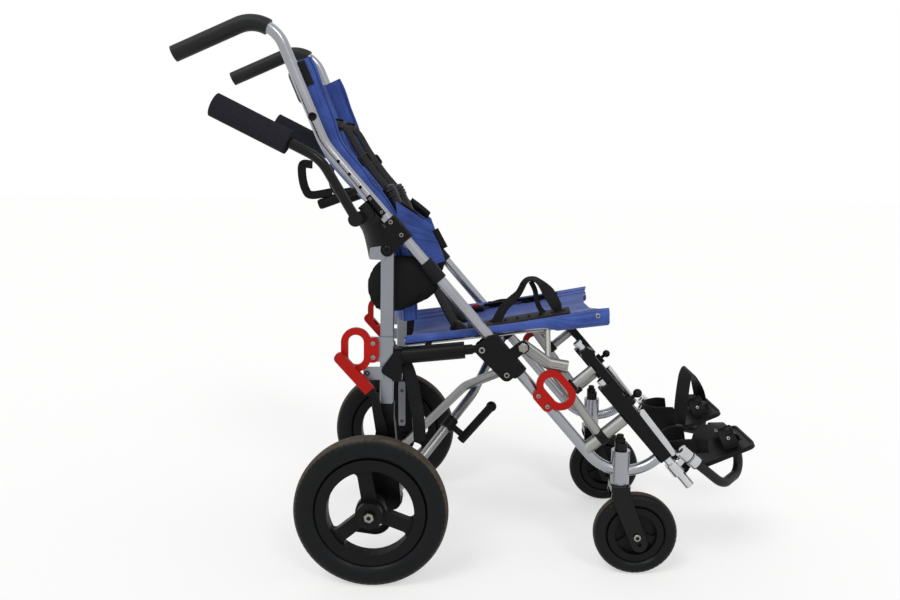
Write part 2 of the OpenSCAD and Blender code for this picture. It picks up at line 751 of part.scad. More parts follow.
// Seat rail: a sleeved strut from the leg's latch to the front bracket, with a saddle for the seat tube
latch_down = 212;
latch_h = 66;
latch_w = 17;
latch_t = 28;
latch_plate_t = 4;
latch_plate_r = 9;
latch_plate_top = 206;
latch_plate_low = 252;
latch_bolt_down = 238;
latch_stud_d = 14;
rail_sleeve_d = 34;
rail_end_d = 20;
rail_eye_d = 18;
rail_neck_d = 16;
rail_bare = 34;
saddle_d = 12;
rear_saddle_at = 52;
module seat_rail_body() {
  start = in_plane(leg_point(leg_w / 2 + air_gap + latch_w / 2, latch_down), 0);
  stop = in_plane(rail_head, 0);
  ahead = unit(stop - start);
  collar = stop - rail_bare * ahead;
  carry = start + rear_saddle_at * ahead;
  difference() {
    union() {
      bar(start, collar, rail_sleeve_d);
      bar(collar - rail_end_d * ahead, stop - rail_eye_d * ahead, rail_end_d);
      bar(collar, stop, rail_neck_d);
      pin(rail_head, -leg_t / 2, leg_t / 2, rail_eye_d);
      on_leg() plate(0, latch_t) translate([leg_w / 2 + air_gap, -latch_down - latch_h + rail_sleeve_d / 2])
        square([latch_w, latch_h]);
      seat_saddle(carry, rear_saddle_at, saddle_d);
    }
    pin(rail_head, -leg_t, leg_t, rail_pin_d + 2 * fit_gap);
    on_leg() translate([-leg_w, -leg_t, -2 * leg_len]) cube([leg_w * 3 / 2 + air_gap, 2 * leg_t, 2 * leg_len]);
  }
  latch_plate();
}
module latch_plate() {
  face = leg_t / 2 + backing_t + air_gap;
  ahead = leg_w / 2 + air_gap + latch_w / 2;
  corners = [[0, -latch_bolt_down], [ahead, -latch_plate_top], [ahead, -latch_plate_low]];
  on_leg() {
    plate(-face - latch_plate_t / 2, latch_plate_t) for (k = [0 : len(corners) - 1])
      link(corners[k], latch_plate_r, corners[(k + 1) % len(corners)], latch_plate_r);
    pin([ahead, -latch_bolt_down], -face - latch_plate_t / 2, 0, latch_stud_d);
  }
}
module right_seat_rail() color("#1d1d1d") at_side() seat_rail_body();
module left_seat_rail() other_side() right_seat_rail();

// Legrest support: two stubs, a tube between them, a grooved S-link to the lug and a seat saddle
stub_d = 26;
stub_wall = 3;
low_stub_at = 107;
high_stub_at = 226;
high_stub_d = 20;
post_d = 20;
post_foot_out = 40;
post_head_at = 292;
post_head_out = 55;
link_h = 24;
link_t = leg_t;
link_groove_d = 4;
link_bend_r = 30;
link_tail_at = 262;
link_tail_out = 80;
front_saddle_share = 0.7;
hanger_t = 28;
hanger_y = 8;
arm_h = 19;
arm_out = 12;
stub_face = hanger_out - hanger_h / 2 - fit_gap;
arm_face = hanger_out + arm_out - arm_h / 2 - fit_gap;
module link_section() {
  difference() {
    rounded(link_h, link_t, link_t / 3);
    for (side = [-1, 1], step = [-1, 1])
      translate([step * link_h / 6, side * link_t / 2]) circle(d = link_groove_d);
  }
}
module legrest_support_body() {
  post_slope = (post_head_out - post_foot_out) / (post_head_at - low_stub_at);
  high_out = post_foot_out + post_slope * (high_stub_at - low_stub_at);
  post_head = lean_point(post_head_at, -post_head_out);
  difference() {
    union() {
      on_tube(low_stub_at, -stub_face) cylinder(h = stub_face, d = stub_d);
      on_tube(high_stub_at, -arm_face) cylinder(h = arm_face - high_out, d = high_stub_d);
      bar(in_plane(lean_point(low_stub_at, -post_foot_out), 0), in_plane(post_head, 0), post_d);
      sweep([for (p = [lean_point(lug_at, -lug_out), post_head, lean_point(link_tail_at, -link_tail_out)])
        in_plane(p, 0)], [0, link_bend_r, 0]) link_section();
      seat_saddle(in_plane(post_head, 0), front_saddle_share * seat_len, saddle_d);
    }
    sleeve(0, lean_len, tube_d + 2 * fit_gap);
  }
}
module right_legrest_support() color("silver") at_side() legrest_support_body();
module left_legrest_support() other_side() right_legrest_support();

// Legrest hanger: a bored channel with a narrower arm above, a clamp boss and a ball knob
channel_low = -12;
channel_high = 185;
arm_high = 268;
arm_t = 22;
arm_low = 150;
arm_knob_d = 27;
arm_knob_back = 14;
hanger_edge_r = 4;
plunger_d = 8;
plunger_depth = 30;
cam_at = 128;
cam_d = 24;
cam_h = 9;
ball_knob_d = 18;
ball_stem_d = 8;
ball_stem_h = 14;
slide_bore = slide_d + 2 * run_gap;
module legrest_hanger_body() {
  front = hanger_out + hanger_h / 2;
  difference() {
    on_tube(0, 0) union() {
      translate([0, hanger_y, -hanger_out]) along_x(channel_low, channel_high)
        rounded(hanger_t, hanger_h, hanger_edge_r);
      translate([0, hanger_y, -hanger_out - arm_out]) along_x(arm_low, arm_high)
        rounded(arm_t, arm_h, hanger_edge_r);
      pin([arm_high - arm_knob_back, -hanger_out - arm_out], hanger_y - arm_knob_d / 2,
        hanger_y + arm_t / 2, arm_knob_d);
      translate([cam_at, hanger_y, -front - cam_h]) cylinder(h = cam_h + hanger_edge_r, d = cam_d);
      translate([cam_at, hanger_y, -front - cam_h - ball_stem_h])
        cylinder(h = ball_stem_h + cam_h, d = ball_stem_d);
      translate([cam_at, hanger_y, -front - cam_h - ball_stem_h]) sphere(d = ball_knob_d);
    }
    on_tube(channel_low - overrun, -hanger_out) translate([0, hanger_y, 0]) rotate([0, 90, 0])
      cylinder(h = channel_high - channel_low + 2 * overrun + arm_knob_d, d = slide_bore);
    on_tube(arm_high - plunger_depth, -hanger_out - arm_out) translate([0, hanger_y, 0]) rotate([0, 90, 0])
      cylinder(h = plunger_depth + arm_knob_d, d = plunger_d + 2 * run_gap);
  }
}
module right_legrest_hanger() color("#1a1a1a") at_side() legrest_hanger_body();
module left_legrest_hanger() other_side() right_legrest_hanger();

// Hanger release: a sprung pull pin with a ridged head
release_head_d = 15;
release_head_h = 6;
release_neck_d = 11;
release_neck_h = 13;
release_room = 8;
module hanger_release_body() {
  on_tube(arm_high, -hanger_out - arm_out) translate([0, hanger_y, 0]) rotate([0, 90, 0]) {
    translate([0, 0, -plunger_depth + release_room])
      cylinder(h = plunger_depth - release_room + release_neck_h, d = plunger_d);
    translate([0, 0, air_gap]) cylinder(h = release_neck_h, d = release_neck_d);
    translate([0, 0, release_neck_h]) cylinder(h = release_head_h, d = release_head_d);
  }
}
module right_hanger_release() color("#c8c8c8") at_side() hanger_release_body();
module left_hanger_release() other_side() right_hanger_release();

// Legrest slide: a chromed tube with a tee clamp whose barrel holds the footplate's swivel
slide_top = 198;
slide_low = -90;
slide_wall = 1.5;
tee_at = -42;
tee_len = 28;
tee_wall = 4;
barrel_out = 36;
barrel_d = 27;
barrel_len = 24;
barrel_tilt = 38.4;
swivel_d = 12;
neck_d = 16;
barrel_mid = lean_point(tee_at, -hanger_out - barrel_out);
barrel_dir = polar(-barrel_tilt, 1);
function on_barrel(t) = in_plane(barrel_mid + t * barrel_dir, 0);
module on_slide(at) {
  on_tube(at, -hanger_out) translate([0, hanger_y, 0]) rotate([0, 90, 0]) children();
}
module legrest_slide_body() {
  difference() {
    union() {
      on_slide(slide_low) cylinder(h = slide_top - slide_low, d = slide_d);
      on_slide(tee_at - tee_len / 2) cylinder(h = tee_len, d = slide_d + 2 * tee_wall);
      bar(in_plane(lean_point(tee_at, -hanger_out), hanger_y), on_barrel(-barrel_len / 2), neck_d);
      bar(on_barrel(-barrel_len), on_barrel(0), barrel_d);
    }
    on_slide(slide_low - overrun)
      cylinder(h = slide_top - slide_low + 2 * overrun, d = slide_d - 2 * slide_wall);
    bar(on_barrel(-barrel_len - overrun), on_barrel(overrun), swivel_d + 2 * run_gap);
  }
}
module right_legrest_slide() color("#dddddd") at_side() legrest_slide_body();
module left_legrest_slide() other_side() right_legrest_slide();

// Footplate arm: the swivel collar and pin, and a tube that bends under the plate
collar_len = 20;
arm_tube_d = 19;
arm_wall = 2;
arm_first = 88;
arm_ahead = 55;
arm_in = 62;
arm_lift = 7;
arm_stand = 60;
arm_lean_back = 14;
arm_bend_r = 30;
plate_t = 6;
plate_side = 15;
plate_ahead = 19;
plate_down = 27;
plate_rear = barrel_mid + [plate_ahead, -plate_down];
module on_plate() {
  translate([plate_rear[0], 0, plate_rear[1]]) rotate([0, -plate_tilt, 0]) children();
}
module footplate_arm_body() {
  first = on_barrel(arm_first);
  second = first + [arm_ahead, arm_in, arm_lift];
  third = second + [-arm_lean_back, 0, arm_stand];
  difference() {
    union() {
      bar(on_barrel(-barrel_len + air_gap), on_barrel(collar_len), swivel_d);
      bar(on_barrel(air_gap), on_barrel(collar_len), barrel_d);
      sweep([on_barrel(collar_len / 2), first, second, third], [0, arm_bend_r, arm_bend_r, 0])
        tube_ring(arm_tube_d, arm_wall);
    }
    on_plate() translate([0, plate_side, -plate_t - fit_gap]) cube([plate_len, plate_w, arm_stand]);
  }
}
module right_footplate_arm() color("#1a1a1a") at_side() footplate_arm_body();
module left_footplate_arm() other_side() right_footplate_arm();

// Footplate: a moulded plate with a raised rim, rounded corners and three slots near the toes
plate_corner_r = 16;
plate_rim_w = 4;
plate_rim_h = 3;
slot_count = 3;
slot_len = 28;
slot_w = 5;
slot_pitch = 13;
slot_inset = 14;
plate_mid = plate_side + plate_w / 2;
module footplate_body() {
  on_plate() translate([plate_len / 2, plate_mid, 0]) difference() {
    union() {
      translate([0, 0, -plate_t]) linear_extrude(plate_t) rounded(plate_len, plate_w, plate_corner_r);
      linear_extrude(plate_rim_h) difference() {
        rounded(plate_len, plate_w, plate_corner_r);
        rounded(plate_len - 2 * plate_rim_w, plate_w - 2 * plate_rim_w, plate_corner_r - plate_rim_w);
      }
    }
    for (k = [0 : slot_count - 1])
      translate([plate_len / 2 - slot_inset, (k - (slot_count - 1) / 2) * slot_pitch, -plate_t - overrun])
        linear_extrude(plate_t + 2 * overrun) link([-slot_len, 0], slot_w / 2, [0, 0], slot_w / 2);
  }
}
module right_footplate() color("#202020") at_side() footplate_body();
module left_footplate() other_side() right_footplate();

// Foot strap: a heel cup with an ankle strap over it and a toe strap across the plate
heel_r = 42;
heel_wall = 4;
heel_h = 62;
heel_ahead = 16;
ankle_w = 27;
ankle_low = 20;
toe_strap_at = 88;
toe_strap_w = 32;
toe_strap_r = 46;
toe_strap_t = 3;
module strap_arch(r, t, w) {
  translate([-w / 2, 0, 0]) rotate([90, 0, 90]) rotate_extrude(angle = 180)
    translate([r - t, 0]) square([t, w]);
}
module foot_strap_body() {
  on_plate() translate([0, plate_mid, air_gap]) {
    translate([heel_ahead, 0, plate_rim_h]) {
      rotate(90) rotate_extrude(angle = 180)
        translate([heel_r - heel_wall, 0]) square([heel_wall, heel_h]);
      for (side = [-1, 1])
        translate([-ankle_w / 2, side * (heel_r - heel_wall / 2) - heel_wall / 2, ankle_low])
          cube([ankle_w, heel_wall, heel_h - ankle_low]);
      translate([0, 0, heel_h]) strap_arch(heel_r, heel_wall, ankle_w);
    }
    translate([toe_strap_at, 0, 0]) strap_arch(toe_strap_r, toe_strap_t, toe_strap_w);
  }
}
module right_foot_strap() color("#141414") at_side() foot_strap_body();
module left_foot_strap() other_side() right_foot_strap();

// Side pad: a crowned cushion inside the side tube, flat behind, with sides drawn in
pad_w = 150;
pad_h = 104;
pad_t = 27;
pad_rim = 6;
pad_pull_share = 0.07;
pad_ahead = 47;
pad_rise = 18;
pad_taper_share = 0.22;
pad_down = 73;
pad_steps = 12;
pad_back = tube_d / 2 + air_gap;
function pad_grid(crown) = [for (i = [0 : pad_steps]) [for (j = [0 : pad_steps])
  let (u = 2 * i / pad_steps - 1, v = 2 * j / pad_steps - 1)
  [leg_pivot[0] + pad_ahead + pad_w / 2 * u * (1 - pad_pull_share * (1 - v * v)),
    pad_back + crown * (pad_rim + (pad_t - pad_rim) * (1 - pow(u, 4)) * (1 - pow(v, 4))),
    leg_pivot[1] - pad_down + pad_rise * u
      + pad_h / 2 * v * (1 - pad_pull_share * (1 - u * u)) * (1 - pad_taper_share * u)]]];
module right_side_pad() color("#161616") at_side() skin(pad_grid(0), pad_grid(1));
module left_side_pad() other_side() right_side_pad();

// Crossed braces: bent tubes with ball ends, from each front bracket to the other side's axle bracket
brace_wall = 2;
brace_bend_r = 90;
brace_y = side_y - ball_y;
brace_run = norm(brace_foot - brace_head);
brace_dir = unit(brace_foot - brace_head);
brace_up = [brace_dir[1], -brace_dir[0]];
function brace_point(y, d, lift) =
  let (p = brace_head + d * brace_dir + lift * brace_up) [p[0], y, p[1]];
function brace_path(side) = [brace_point(side * brace_y, 0, 0),
  brace_point(0, cross_share * brace_run, -side * brace_gap / 2), brace_point(-side * brace_y, brace_run, 0)];
module brace_body(side) {
  path = brace_path(side);
  translate([-axle_back, 0, 0]) {
    sweep(path, [0, brace_bend_r, 0]) tube_ring(brace_d, brace_wall);
    for (p = [path[0], path[2]]) translate(p) sphere(d = ball_d);
  }
}
module right_brace() color("silver") brace_body(-1);
module left_brace() color("silver") brace_body(1);

// Fold lever: a clamp on the lower brace, a post and a handle with a round tip
lever_share = 0.32;
lever_clamp_d = 28;
lever_clamp_len = 28;
lever_below = 44;
lever_len = 90;
lever_heel = 12;
lever_grip_d = 19;
lever_tip_d = 23;
lever_post_d = 14;
module fold_lever() {
  path = brace_path(1);
  ahead = unit(path[2] - path[1]);
  seat = path[1] + lever_share * (path[2] - path[1]);
  drop = -lever_below * in_plane(brace_up, 0);
  back = -lever_len * in_plane(brace_dir, 0);
  color("#181818") translate([-axle_back, 0, 0]) difference() {
    union() {
      bar(seat - lever_clamp_len / 2 * ahead, seat + lever_clamp_len / 2 * ahead, lever_clamp_d);
      bar(seat, seat + drop, lever_post_d);
      bar(seat + drop - lever_heel * unit(back), seat + drop + back, lever_grip_d);
      translate(seat + drop + back) sphere(d = lever_tip_d);
    }
    bar(seat - lever_clamp_len * ahead, seat + lever_clamp_len * ahead, brace_d + 2 * fit_gap);
  }
}

// Lines that the back cloth follows: along the side tubes, then down inside the side pads.
// Each row of the table is [x, z, half width, wing depth].
back_top = 165;
back_second = 85;
back_leave = 806;
back_loose = 760;
back_inset_upper = tube_d / 2 + air_gap + cloth_t / 2;
back_inset_clamp = low_clamp_t / 2 + air_gap + 2 * cloth_t;
back_inset_pad = pad_back + pad_t + air_gap + 2 * cloth_t;
back_low_ahead = 30;
back_low_down = 150;
back_pad_ahead = 20;
back_pad_down = 60;
back_bracket_up = 42;
wing_top = 38;
wing_low = 26;
wing_tuck = 7;
function back_key(p, inset, wing) = [p[0], p[1], side_y - inset, wing];
back_keys = [
  back_key(shoulder + polar(180 - back_angle, back_top), back_inset_upper, wing_top),
  back_key(shoulder + polar(180 - back_angle, back_second), back_inset_upper, wing_top),
  back_key(shoulder, back_inset_upper, wing_top),
  back_key(lean_point(back_leave, 0), back_inset_upper, wing_top),
  back_key(lean_point(back_loose, 0), back_inset_clamp, wing_top),
  back_key(leg_pivot + [0, back_bracket_up], (back_inset_clamp + back_inset_pad) / 2, wing_low),
  back_key(leg_pivot + [back_pad_ahead, -back_pad_down], back_inset_pad, wing_low),
  back_key(leg_pivot + [back_low_ahead, -back_low_down], back_inset_pad, wing_low)];
row_share = 0.2;
turn_share = 0.5;
function back_row(t) = let (i = min(floor(t), len(back_keys) - 2), f = t - i)
  back_keys[i] * (1 - f) + back_keys[i + 1] * f;
function back_ahead(t) = let (a = back_row(max(t - turn_share, 0)),
    b = back_row(min(t + turn_share, len(back_keys) - 1)))
  unit([a[1] - b[1], b[0] - a[0]]);
function back_depth(t, y) = let (row = back_row(t)) -back_sag * (1 - pow(y / row[2], 2));
function back_at(t, y, lift) = let (row = back_row(t), n = back_ahead(t), d = back_depth(t, y) + lift)
  [row[0] + d * n[0] - axle_back, y, row[1] + d * n[1]];

// Back sling: cloth that sags between the side tubes and turns forward in a wing at each side
back_cols = 5;
wing_cols = 2;
function back_half(t, side) = let (row = back_row(t)) concat(
  [for (k = [wing_cols : -1 : 1]) let (w = k / wing_cols) back_at(t, side * row[2], w * row[3])
    - [0, side * w * wing_tuck, 0]],
  [for (k = [0 : back_cols - 1]) back_at(t, side * row[2] * (1 - k / back_cols), 0)]);
function back_grid() = [for (t = [0 : row_share : len(back_keys) - 1])
  let (half = back_half(t, -1), other = back_half(t, 1))
  concat(half, [back_at(t, 0, 0)], [for (k = [len(other) - 1 : -1 : 0]) other[k]])];
module back_sling() color("#2f4fb0") cloth(back_grid(), cloth_t);

// Seat sling: cloth wrapped over the seat tubes and sagging between them, with pleats at the rear
seat_rows = 14;
seat_cols = 5;
hem_angles = [176, 151, 126, 101, 76];
hem_r = seat_tube_d / 2 + air_gap + cloth_t / 2;
pleat_h = 4;
pleat_turns = 1.5;
seat_inner_y = seat_y - hem_r * cos(hem_angles[4]);
seat_edge_up = hem_r * sin(hem_angles[4]);
function seat_height(f, y) = let (s = y / seat_inner_y)
  seat_edge_up - (seat_sag + seat_edge_up) * (1 - s * s)
  + pleat_h * pow(1 - f, 2) * sin(360 * pleat_turns * s) * (1 - s * s);
function seat_at(f, y, up) = let (p = seat_point(f * seat_len)) [p[0] - axle_back, y, p[1] + up];
function seat_half(f, side) = concat(
  [for (a = hem_angles) seat_at(f, side * (seat_y - hem_r * cos(a)), hem_r * sin(a))],
  [for (k = [1 : seat_cols - 1]) let (y = side * seat_inner_y * (1 - k / seat_cols))
    seat_at(f, y, seat_height(f, y))]);
function seat_grid() = [for (i = [0 : seat_rows])
  let (f = i / seat_rows, half = seat_half(f, -1), other = seat_half(f, 1))
  concat(half, [seat_at(f, 0, seat_height(f, 0))], [for (k = [len(other) - 1 : -1 : 0]) other[k]])];
module seat_sling() color("#2f4fb0") cloth(seat_grid(), cloth_t);

// Harness: two shoulder straps on the back cloth and a padded chest piece over their lower ends
strap_t = 3;
shoulder_y = 62;
shoulder_w = 38;
shoulder_from_share = 1.2;
shoulder_to_share = 5.6;
strap_lift = cloth_t / 2 + air_gap + strap_t / 2;
strap_swell = 22;
chest_from_share = 4.6;
chest_to_share = 6.4;
chest_half = 78;
chest_t = 12;
chest_rim = 4;
chest_steps = 10;
function strap_up(t) = strap_lift
  + strap_swell * pow((t - shoulder_from_share) / (shoulder_to_share - shoulder_from_share), 2);
function shoulder_grid(side) = [for (t = [shoulder_from_share : row_share : shoulder_to_share])
  [for (k = [-1, 0, 1]) back_at(t, side * shoulder_y + k * shoulder_w / 2, strap_up(t))]];
chest_lift = strap_lift + strap_swell + strap_t / 2 + air_gap;
function chest_grid(crown) = [for (t = [chest_from_share : row_share : chest_to_share])
  let (v = 2 * (t - chest_from_share) / (chest_to_share - chest_from_share) - 1)
  [for (j = [0 : chest_steps]) let (u = 2 * j / chest_steps - 1)
    back_at(t, chest_half * u * (1 - pad_pull_share * (1 - v * v)), chest_lift
      + crown * (chest_rim + (chest_t - chest_rim) * (1 - pow(u, 4)) * (1 - pow(v, 4))))]];
module harness() color("#151515") {
  for (side = [-1, 1]) cloth(shoulder_grid(side), strap_t);
  skin(chest_grid(0), chest_grid(1));
}

// Thigh strap: a holed strip on each side of the seat with a webbing loop that stands over it
strip_y = 118;
strip_w = 24;
strip_from_share = 0.44;
strip_to_share = 0.8;
strip_t = 4;
loop_from_share = 0.5;
loop_to_share = 0.72;
loop_h = 62;
loop_w = 20;
loop_rows = 14;
strip_up = cloth_t / 2 + 2 * air_gap + strip_t / 2;
loop_up = strip_up + strip_t / 2 + air_gap + strap_t / 4;
function strip_grid(side) = [for (i = [0 : seat_rows])
  let (f = strip_from_share + (strip_to_share - strip_from_share) * i / seat_rows)
  [for (k = [-1, 0, 1]) let (y = side * strip_y + k * strip_w / 2)
    seat_at(f, y, seat_height(f, y) + strip_up)]];
function loop_grid(side) = [for (i = [0 : loop_rows])
  let (a = 180 * i / loop_rows, f = loop_from_share + (loop_to_share - loop_from_share) * (1 - cos(a)) / 2)
  [for (k = [-1, 0, 1]) let (y = side * strip_y + k * loop_w / 2)
    seat_at(f, y, seat_height(f, y) + loop_up + loop_h * sin(a))]];
module thigh_strap() color("#151515") for (side = [-1, 1]) {
  cloth(strip_grid(side), strip_t);
  cloth(loop_grid(side), strap_t);
}

right_main_tube();
left_main_tube();
right_push_grip();
left_push_grip();
right_upper_bracket();
left_upper_bracket();
right_front_bracket();
left_front_bracket();
right_lower_handle();
left_lower_handle();
right_lower_grip();
left_lower_grip();
right_front_tie_ring();
left_front_tie_ring();
right_rear_tie_ring();
left_rear_tie_ring();
right_legrest_support();
left_legrest_support();
right_legrest_hanger();
left_legrest_hanger();
right_hanger_release();
left_hanger_release();
right_legrest_slide();
left_legrest_slide();
right_footplate_arm();
left_footplate_arm();
right_footplate();
left_footplate();
right_foot_strap();
left_foot_strap();
right_caster_fork();
left_caster_fork();
right_caster_tyre();
left_caster_tyre();
right_caster_hub();
left_caster_hub();
right_rear_leg();
left_rear_leg();
right_axle_bracket();
left_axle_bracket();
right_rear_tyre();
left_rear_tyre();
right_rear_rim();
left_rear_rim();
right_brake_pedal();
left_brake_pedal();
right_seat_rail();
left_seat_rail();
right_seat_tube();
left_seat_tube();
right_side_pad();
left_side_pad();
right_brace();
left_brace();
fold_lever();
back_sling();
seat_sling();
harness();
thigh_strap();
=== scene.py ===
import math

import bpy
import numpy as np
from mathutils import Matrix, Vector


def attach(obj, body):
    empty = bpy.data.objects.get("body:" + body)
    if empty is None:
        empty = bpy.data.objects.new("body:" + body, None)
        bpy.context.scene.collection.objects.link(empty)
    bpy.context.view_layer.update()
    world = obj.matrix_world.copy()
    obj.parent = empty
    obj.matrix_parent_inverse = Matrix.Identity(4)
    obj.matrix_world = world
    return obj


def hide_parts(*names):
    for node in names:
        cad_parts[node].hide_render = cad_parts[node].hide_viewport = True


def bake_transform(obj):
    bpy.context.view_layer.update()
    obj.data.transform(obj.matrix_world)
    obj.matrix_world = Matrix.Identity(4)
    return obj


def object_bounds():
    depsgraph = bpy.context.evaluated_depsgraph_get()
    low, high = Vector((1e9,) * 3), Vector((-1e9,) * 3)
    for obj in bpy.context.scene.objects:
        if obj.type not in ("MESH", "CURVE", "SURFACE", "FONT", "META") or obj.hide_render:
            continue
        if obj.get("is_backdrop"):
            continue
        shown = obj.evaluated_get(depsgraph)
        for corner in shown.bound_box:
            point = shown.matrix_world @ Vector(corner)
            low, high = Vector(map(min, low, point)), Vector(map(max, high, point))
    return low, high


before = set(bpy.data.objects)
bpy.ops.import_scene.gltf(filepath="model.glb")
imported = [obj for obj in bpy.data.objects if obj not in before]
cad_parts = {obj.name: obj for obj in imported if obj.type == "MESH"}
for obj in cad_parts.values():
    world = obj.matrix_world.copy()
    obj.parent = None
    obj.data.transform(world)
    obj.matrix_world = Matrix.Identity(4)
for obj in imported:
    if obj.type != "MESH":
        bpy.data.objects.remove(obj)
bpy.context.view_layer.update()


# Photo studio
# A pale matt floor under a white surround, lit as for a catalogue by a broad lamp from the upper left and
# a weaker one from the upper right. The camera stands on the buggy's right, a little over the middle of
# its back, and looks slightly down.
def hue(code):
    """Linear red, green, blue and alpha of an sRGB hex code."""
    part = np.array([int(code[k:k + 2], 16) / 255 for k in (1, 3, 5)])
    return [*np.where(part > 0.04045, ((part + 0.055) / 1.055) ** 2.4, part / 12.92), 1.0]


def fill(tree, node, sockets):
    """Fills a node's inputs, by name or number, with values or with links from other nodes' outputs."""
    for key, value in sockets.items():
        if isinstance(value, bpy.types.NodeSocket):
            tree.links.new(value, node.inputs[key])
        else:
            node.inputs[key].default_value = value


def add(tree, kind, sockets=None, **settings):
    """Adds one node, sets its properties, fills its inputs and gives its outputs."""
    node = tree.nodes.new(kind)
    for key, value in settings.items():
        setattr(node, key, value)
    fill(tree, node, sockets or {})
    return node.outputs


def in_view(tree):
    """One for rays straight from the camera, or by way of metal or glass, and nought for all others."""
    ray = add(tree, "ShaderNodeLightPath")
    seen = ray["Is Camera Ray"]
    for kind in ("Is Glossy Ray", "Is Transmission Ray"):
        seen = add(tree, "ShaderNodeMath", {0: seen, 1: ray[kind]}, operation="MAXIMUM")[0]
    return seen


link = bpy.context.scene.collection.objects.link
eye = np.array([-0.0125, -1.7278, 0.7965])
yaw, pitch, roll = np.radians([-1.25, 8.70, 0.47])
ahead = np.array([np.sin(yaw) * np.cos(pitch), np.cos(yaw) * np.cos(pitch), -np.sin(pitch)])
level = np.array([np.cos(yaw), -np.sin(yaw), 0])
above = np.cross(level, ahead)
across = level * np.cos(roll) + above * np.sin(roll)
upward = above * np.cos(roll) - level * np.sin(roll)
camera = bpy.data.objects.new("camera", bpy.data.cameras.new("camera"))
camera.matrix_world = Matrix([*zip(across, upward, -ahead, eye), (0, 0, 0, 1)])
camera.data.sensor_fit = "HORIZONTAL"
camera.data.sensor_width = 36
camera.data.lens = 31.66
camera.data.clip_end = 200
link(camera)
bpy.context.scene.camera = camera
bpy.context.scene.view_settings.view_transform = "Standard"

for name, energy, spread, tilt in (("key", 0.95, 24, (32, -24, 0)), ("fill", 0.5, 14, (44, 26, 0))):
    lamp = bpy.data.objects.new(name, bpy.data.lights.new(name, "SUN"))
    lamp.data.energy = energy
    lamp.data.angle = math.radians(spread)
    lamp.rotation_euler = [math.radians(k) for k in tilt]
    link(lamp)

surround = bpy.data.worlds.new("surround")
bpy.context.scene.world = surround
surround.use_nodes = True
tree = surround.node_tree
tree.nodes.clear()
soft, white = (add(tree, "ShaderNodeBackground", {"Color": hue("#ffffff"), "Strength": strength})[0]
               for strength in (0.68, 1.0))
both = add(tree, "ShaderNodeMixShader", {0: in_view(tree), 1: soft, 2: white})[0]
add(tree, "ShaderNodeOutputWorld", {"Surface": both})

floor_half = 30.0
floor_mesh = bpy.data.meshes.new("floor")
corners = [(-1, -1), (1, -1), (1, 1), (-1, 1)]
floor_mesh.from_pydata([(floor_half * x, floor_half * y, 0) for x, y in corners], [], [(0, 1, 2, 3)])
floor = bpy.data.objects.new("floor", floor_mesh)
link(floor)
# Matt white paint: no shine. To the eye, and in metal, it is half plain white, so its shadow stays pale.
floor_paint = bpy.data.materials.new("matt white studio paint")
floor_paint.use_nodes = True
tree = floor_paint.node_tree
floor_shade = tree.nodes["Principled BSDF"]
fill(tree, floor_shade, {"Base Color": hue("#fbfbfa"), "Roughness": 0.9, "Specular IOR Level": 0.0})
half = add(tree, "ShaderNodeMath", {0: in_view(tree), 1: 0.5}, operation="MULTIPLY")[0]
plain = add(tree, "ShaderNodeEmission", {"Color": hue("#ffffff"), "Strength": 1.0})[0]
both = add(tree, "ShaderNodeMixShader", {0: half, 1: floor_shade.outputs[0], 2: plain})[0]
fill(tree, tree.nodes["Material Output"], {"Surface": both})
floor_mesh.materials.append(floor_paint)
floor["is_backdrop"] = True


# Side tubes
# Two bent side tubes of clear anodised aluminium carry everything; each runs from the push handle down
# to the toe bend. They are drawn, bent cold and etched. A black plug is pressed into the outer side of
# each one's upper part, and two screws hold a dark plate below the three accessory holes.
def blank(name):
    """A new material, its node tree, its shader and its texture coordinates."""
    paint = bpy.data.materials.new(name)
    paint.use_nodes = True
    tree = paint.node_tree
    return paint, tree, tree.nodes["Principled BSDF"], add(tree, "ShaderNodeTexCoord")


def grain(tree, where, size, depth):
    """The normal of a surface whose grains, of a size in mm, stand up by a depth in mm."""
    bits = add(tree, "ShaderNodeTexNoise", {"Vector": where["Object"], "Scale": 1000 / size, "Detail": 2.0})
    return add(tree, "ShaderNodeBump", {"Height": bits[0], "Distance": depth / 1000})[0]


def finish(name, dark, light, patch, rough, metal=0.0, grit=None, depth=0.0, spread=0.05, shine=0.5):
    """A surface whose colour drifts between two tones over patches of a size in mm, whose roughness
    drifts with it by a spread, and whose grit of a size in mm stands up by a depth in mm."""
    paint, tree, shade, where = blank(name)
    drift = add(tree, "ShaderNodeTexNoise",
                {"Vector": where["Object"], "Scale": 1000 / patch, "Detail": 4.0})[0]
    tone = add(tree, "ShaderNodeMix", {0: drift, 6: hue(dark), 7: hue(light)}, data_type="RGBA")[2]
    gloss = add(tree, "ShaderNodeMapRange",
                {"Value": drift, "To Min": rough - spread, "To Max": rough + spread})[0]
    fill(tree, shade, {"Base Color": tone, "Roughness": gloss, "Metallic": metal,
                       "Specular IOR Level": shine})
    if grit:
        fill(tree, shade, {"Normal": grain(tree, where, grit, depth)})
    return paint


def dress(paint, *names):
    """Gives CAD nodes one finish, on both sides where the name leaves the side out."""
    for name in names:
        for node in (name, "right_" + name, "left_" + name):
            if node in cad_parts:
                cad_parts[node].data.materials.clear()
                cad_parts[node].data.materials.append(paint)


# Etched aluminium: grey metal with a broad soft highlight; the etch is drawn at 2 mm so that it shows.
aluminium = finish("clear anodised aluminium", "#8d8f95", "#a7a9ae", patch=60, rough=0.27, metal=1.0,
                   grit=2.0, depth=0.004)
dress(aluminium, "main_tube", "seat_tube")

# Lengths are in mm from the rear axle, which lies axle_back behind the frame's origin. The side tubes
# lie side_y off the middle.
axle_back = 196.2
side_y = 190.0
sides = (("right", -1), ("left", 1))


